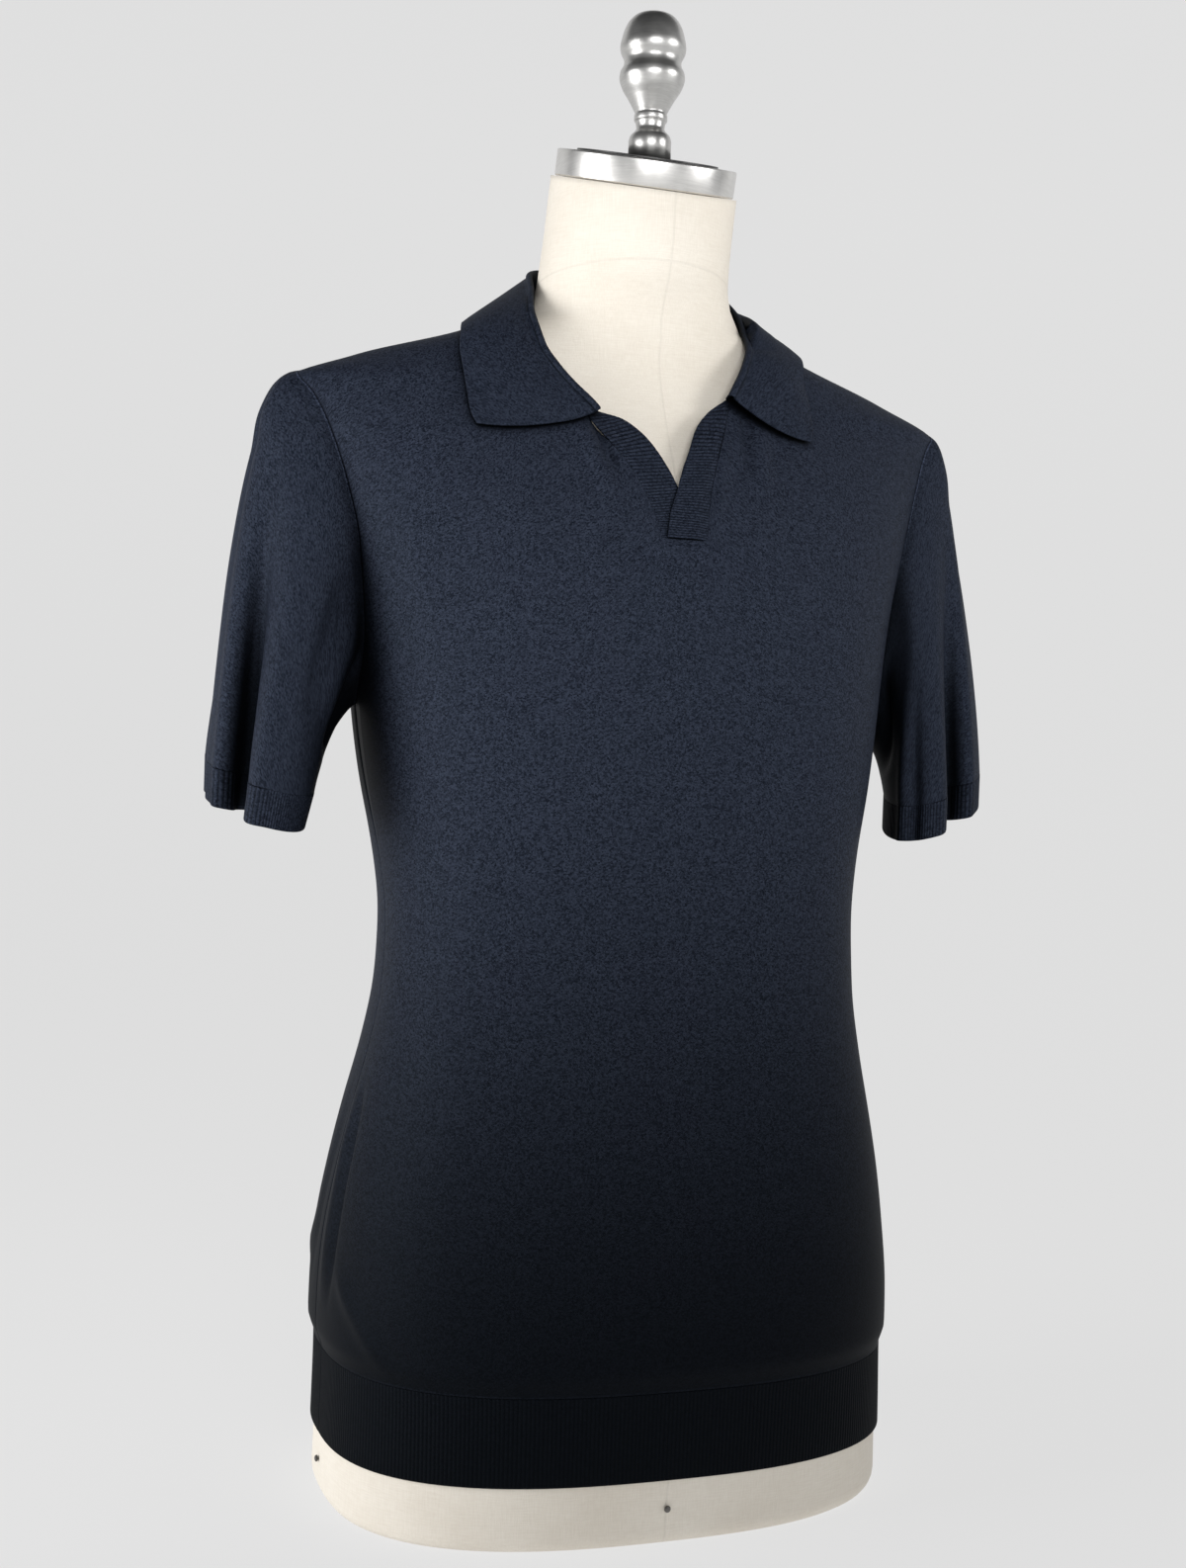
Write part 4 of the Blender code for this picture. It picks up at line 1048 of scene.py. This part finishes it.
def build_collar():
    """The collar: up from the neckline, over a rounded fold and down to the leaf's edge."""
    last = COLLAR.key[-1]
    stations = np.linspace(0, last, 241)
    rows = COLLAR.at(stations)
    neck = snapped(rows[:, 0:3])
    fold, edge = rows[:, 3:6], rows[:, 6:9]
    edge = snapped(edge, LEAF_LIFT)
    from_front = np.minimum(stations, last - stations)
    fold[:, 2] -= END_DROP * np.clip(1 - from_front, 0, 1) ** 2
    along = unit(np.gradient(fold, axis=0))
    outward = edge - fold
    outward = unit(outward - (outward * along).sum(axis=1, keepdims=True) * along)
    up = unit(np.cross(along, outward))
    up = up * np.sign(up[:, 2:3])
    inner_foot = fold - FOLD_RADIUS * outward
    outer_foot = fold + FOLD_RADIUS * outward
    columns = [neck + (inner_foot - neck) * part for part in STAND_PARTS]
    for angle in np.radians([150, 120, 90, 60, 30]):
        columns.append(fold + FOLD_RADIUS * (math.sin(angle) * up + math.cos(angle) * outward))
    sag = FRONT_EDGE_SAG * np.clip(1 - from_front / 2, 0, 1) ** 2
    for part in LEAF_PARTS:
        hump = 4 * part * (1 - part)
        point = outer_foot + (edge - outer_foot) * part + LEAF_BULGE * hump * up
        point[:, 2] -= sag * hump
        columns.append(kept_off(point, LEAF_LIFT * min(1, 0.6 + part)))
    middle = np.stack(columns, axis=1)
    normals = grid_normals(middle, closed=False)
    face = middle + COLLAR_WALL / 2 * normals
    uv = cloth_uv(middle.transpose(1, 0, 2)).transpose(1, 0, 2)
    piece = shell("collar_cloth", face, normals, COLLAR_WALL, COLLAR_KNIT, uv,
                  rolled="tbe", sewn="s")
    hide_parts("collar")


# -------- the dress form
FORM_SIDES = 160
FOOT_ROUND = 0.010          # how high the form's lower edge is rounded,
FOOT_SHARE = 0.040          # and by what share it draws in
SHOULDER_END = 0.732        # the form's rings end here, and the neck's begin at its table's


def even_ring(x, y, z):
    """Points at even distances round a closed curve."""
    points = np.stack([x, y, z], axis=1)
    points = np.vstack([points, points[:1]])
    length = np.append(0, np.cumsum(np.linalg.norm(np.diff(points, axis=0), axis=1)))
    wanted = np.arange(FORM_SIDES) / FORM_SIDES * length[-1]
    return np.stack([np.interp(wanted, length, points[:, axis]) for axis in range(3)], axis=1)


def form_ring(height):
    side, front, back, drop = FORM_EASE.at(height)
    half_width, reach_front, reach_back, power, widest = torso_at(height + drop)
    x = (half_width - side) * curved(np.cos(ROUND), power)
    depth = np.where(np.sin(ROUND) < 0, reach_front - front + widest, reach_back - back - widest)
    y = widest + depth * curved(np.sin(ROUND), power)
    return even_ring(x, y, np.full_like(x, height))


def neck_ring(height):
    middle_x, middle_y, half_width, half_depth, tilt = NECK.at(height)
    tilt = math.radians(tilt)
    along = half_depth * np.sin(ROUND)
    x = middle_x + half_width * np.cos(ROUND)
    return even_ring(x, middle_y + along * math.cos(tilt), height + along * math.sin(tilt))


def build_form():
    edge = form_ring(FOOT_ROUND)
    middle = edge.mean(axis=0)
    rings = []
    for turn in np.radians([0, 12, 30, 50, 70]):
        ring = middle + (edge - middle) * (1 - FOOT_SHARE * (1 - math.sin(turn)))
        ring[:, 2] = FOOT_ROUND * (1 - math.cos(turn))
        rings.append(ring)
    rings += [form_ring(height) for height in np.linspace(FOOT_ROUND, SHOULDER_END, 116)]
    rings += [neck_ring(height) for height in np.linspace(NECK.key[0], NECK.key[-1], 20)]
    points = np.concatenate(rings)
    corners = list(range(len(points)))
    faces = [corners[:FORM_SIDES][::-1], corners[-FORM_SIDES:]]
    faces += ring_faces(len(rings), FORM_SIDES)
    piece = new_object("form_linen", points, faces, LINEN)
    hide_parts("form_torso")


def turned(name, profile, steps, finish, node, matrix):
    """A solid of revolution from (radius, height) pairs that begin and end on the axis."""
    points = []
    for radius, height in profile[1:-1]:
        for step in range(steps):
            angle = 2 * math.pi * step / steps
            points.append((radius * math.cos(angle), radius * math.sin(angle), height))
    foot, head = len(points), len(points) + 1
    points += [(0, 0, profile[0][1]), (0, 0, profile[-1][1])]
    rings = len(profile) - 2
    faces = ring_faces(rings, steps)
    last = (rings - 1) * steps
    for column in range(steps):
        beside = (column + 1) % steps
        faces.append([foot, beside, column])
        faces.append([head, last + column, last + beside])
    piece = new_object(name, [matrix @ Vector(p) for p in points], faces, finish)
    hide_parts(node)
    return piece


def smooth_profile(rows, steps):
    """The profile's points with a smooth curve through them."""
    rows = np.array(rows, float)
    length = np.append(0, np.cumsum(np.hypot(*np.diff(rows, axis=0).T)))
    curve = Table(np.column_stack([length, rows]))
    return curve.at(np.linspace(0, length[-1], steps))


def disc_profile(radius, thickness, bevel):
    half, round_off = thickness / 2, np.radians([0, 22, 45, 68, 90])
    corner = [(radius - bevel + bevel * math.sin(a), bevel * math.cos(a)) for a in round_off]
    low = [(r, -half + bevel - c) for r, c in corner]
    high = [(r, half - bevel + c) for r, c in reversed(corner)]
    inner = radius - 3 * bevel
    return [(0, -half), (inner, -half)] + low + high + [(inner, half), (0, half)]


def build_top():
    """The cap on the neck, the plate on it, and the knob, whose foot is cut to their slope."""
    tilt = Matrix.Rotation(CAP_TILT, 4, "X")
    up = tilt @ Vector((0, 0, 1))
    centre = Vector(CAP_CENTRE)

    def on_axis(distance):
        return Matrix.Translation(centre + up * distance) @ tilt

    cap = on_axis(CAP_GAP + CAP_THICKNESS / 2)
    profile = disc_profile(CAP_RADIUS, CAP_THICKNESS, 0.0011)
    turned("cap_disc", profile, 180, CAP_METAL, "neck_cap", cap)
    lift = 2 * CAP_GAP + CAP_THICKNESS
    plate = on_axis(lift + PLATE_THICKNESS / 2)
    profile = disc_profile(PLATE_RADIUS, PLATE_THICKNESS, 0.0003)
    turned("cap_plate_disc", profile, 120, PLATE_METAL, "cap_plate", plate)
    foot = centre + up * (lift + PLATE_THICKNESS)
    slope = math.tan(CAP_TILT)
    base = foot.z + (FINIAL_AXIS[1] - foot.y) * slope
    profile = [(0.0, FINIAL[0][1]), FINIAL[0], *smooth_profile(FINIAL[1:], 110).tolist()]
    matrix = Matrix.Translation((*FINIAL_AXIS, base))
    piece = turned("knob", profile, 96, FINIAL_METAL, "finial", matrix)
    for vertex in piece.data.vertices:
        floor = base + (vertex.co.y - FINIAL_AXIS[1]) * slope + FINIAL_GAP
        vertex.co.z = max(vertex.co.z, floor)


# -------- floor, light and camera
SWEEP_FRONT, SWEEP_BEND, SWEEP_RADIUS, SWEEP_TOP, SWEEP_HALF = -4.0, 1.2, 1.6, 5.0, 6.0
SWEEP_TURN = Matrix.Rotation(math.radians(-19.64), 4, "Z")      # square to the camera
SWEEP_DROP = 0.0002


def build_stage():
    """A pale sweep: the floor curves up into a wall behind."""
    profile = [(SWEEP_FRONT, 0.0), (SWEEP_BEND, 0.0)]
    for angle in np.radians(np.linspace(0, 90, 25)):
        rise = SWEEP_RADIUS * (1 - math.cos(angle))
        profile.append((SWEEP_BEND + SWEEP_RADIUS * math.sin(angle), rise))
    profile.append((SWEEP_BEND + SWEEP_RADIUS, SWEEP_TOP))
    points, faces = [], []
    for y, z in profile:
        ends = (Vector((x, y, z - SWEEP_DROP)) for x in (-SWEEP_HALF, SWEEP_HALF))
        points += [SWEEP_TURN @ end for end in ends]
    for k in range(0, len(points) - 2, 2):
        faces.append([k, k + 1, k + 3, k + 2])
    mesh = new_mesh("sweep", points, faces, plain("pale_floor", (0.15, 0.15, 0.15), 0.680))
    link(bpy.data.objects.new("sweep", mesh))


def area_light(name, place, target, size, power, spread):
    light = bpy.data.lights.new(name, "AREA")
    light.shape = "RECTANGLE"
    light.size, light.size_y = size
    light.energy = power
    light.spread = math.radians(spread)
    lamp = link(bpy.data.objects.new(name, light))
    lamp.location = place
    lamp.rotation_euler = (Vector(target) - Vector(place)).to_track_quat("-Z", "Y").to_euler()


SKY_LOW = 0.36              # strength of the sky near the horizon,
SKY_HIGH = 0.05             # and overhead, from this height of the view's direction up
SKY_TOP = 0.8


def build_light():
    """A sky that fades upward, a large box at the wearer's right and two small ones in front."""
    n = Nodes(bpy.data.worlds.new("studio"), "Background")
    bpy.context.scene.world = n.owner
    upward = n.split(n.add("ShaderNodeTexCoord").outputs["Generated"])["Z"]
    n.set(
        Color=(0.97, 0.98, 1.0, 1),
        Strength=n.mapped(upward, (0.0, SKY_TOP), (SKY_LOW, SKY_HIGH)),
    )
    area_light("left_box", (-1.45, -0.10, 0.56), (0, 0, 0.44), (0.7, 0.9), 6.5, 110)
    area_light("right_box", (1.30, -1.05, 1.10), (0, 0, 0.84), (0.6, 0.6), 1.0, 50)
    area_light("front_box", (-0.30, -1.50, 0.92), (0, 0, 0.66), (0.8, 0.5), 1.7, 60)
    bpy.context.scene.view_settings.view_transform = "Standard"


CAMERA_PLACE = (-0.4375, -1.1825, 0.4640)
CAMERA_AIM = (0.33612, 0.94166, -0.01747)
CAMERA_ROLL = 0.036145569
FOCAL_PIXELS = 1979.634
FRAME_PIXELS = 1200


def build_camera():
    lens = bpy.data.cameras.new("camera")
    lens.sensor_fit = "HORIZONTAL"
    lens.lens = lens.sensor_width * FOCAL_PIXELS / FRAME_PIXELS
    camera = link(bpy.data.objects.new("camera", lens))
    ahead = Vector(CAMERA_AIM).normalized()
    right = ahead.cross(Vector((0, 0, 1))).normalized()
    up = right.cross(ahead)
    cos, sin = math.cos(CAMERA_ROLL), math.sin(CAMERA_ROLL)
    side, top = right * cos + up * sin, up * cos - right * sin
    turn = Matrix((side, top, -ahead)).transposed().to_4x4()
    camera.matrix_world = Matrix.Translation(CAMERA_PLACE) @ turn
    bpy.context.scene.camera = camera


build_camera()
build_stage()
build_light()
build_form()
build_top()
for pin in ("pin_front", "pin_side"):
    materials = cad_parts[pin].data.materials
    materials.clear()
    materials.append(PIN_METAL)
build_panel("front_panel_cloth", -1, FRONT_CREASES, FRONT_SIDE_CREASES)
build_panel("back_panel_cloth", 1, BACK_CREASES, BACK_SIDE_CREASES)
build_hem("hem_rib_front_cloth", -1)
build_hem("hem_rib_back_cloth", 1)
build_strip("placket_under_cloth", PLACKET_UNDER, 0.0)
build_strip("placket_over_cloth", PLACKET_OVER, OVERLAP_LIFT)
build_sleeve("right", SLEEVES["right"])
build_sleeve("left", SLEEVES["left"])
build_collar()
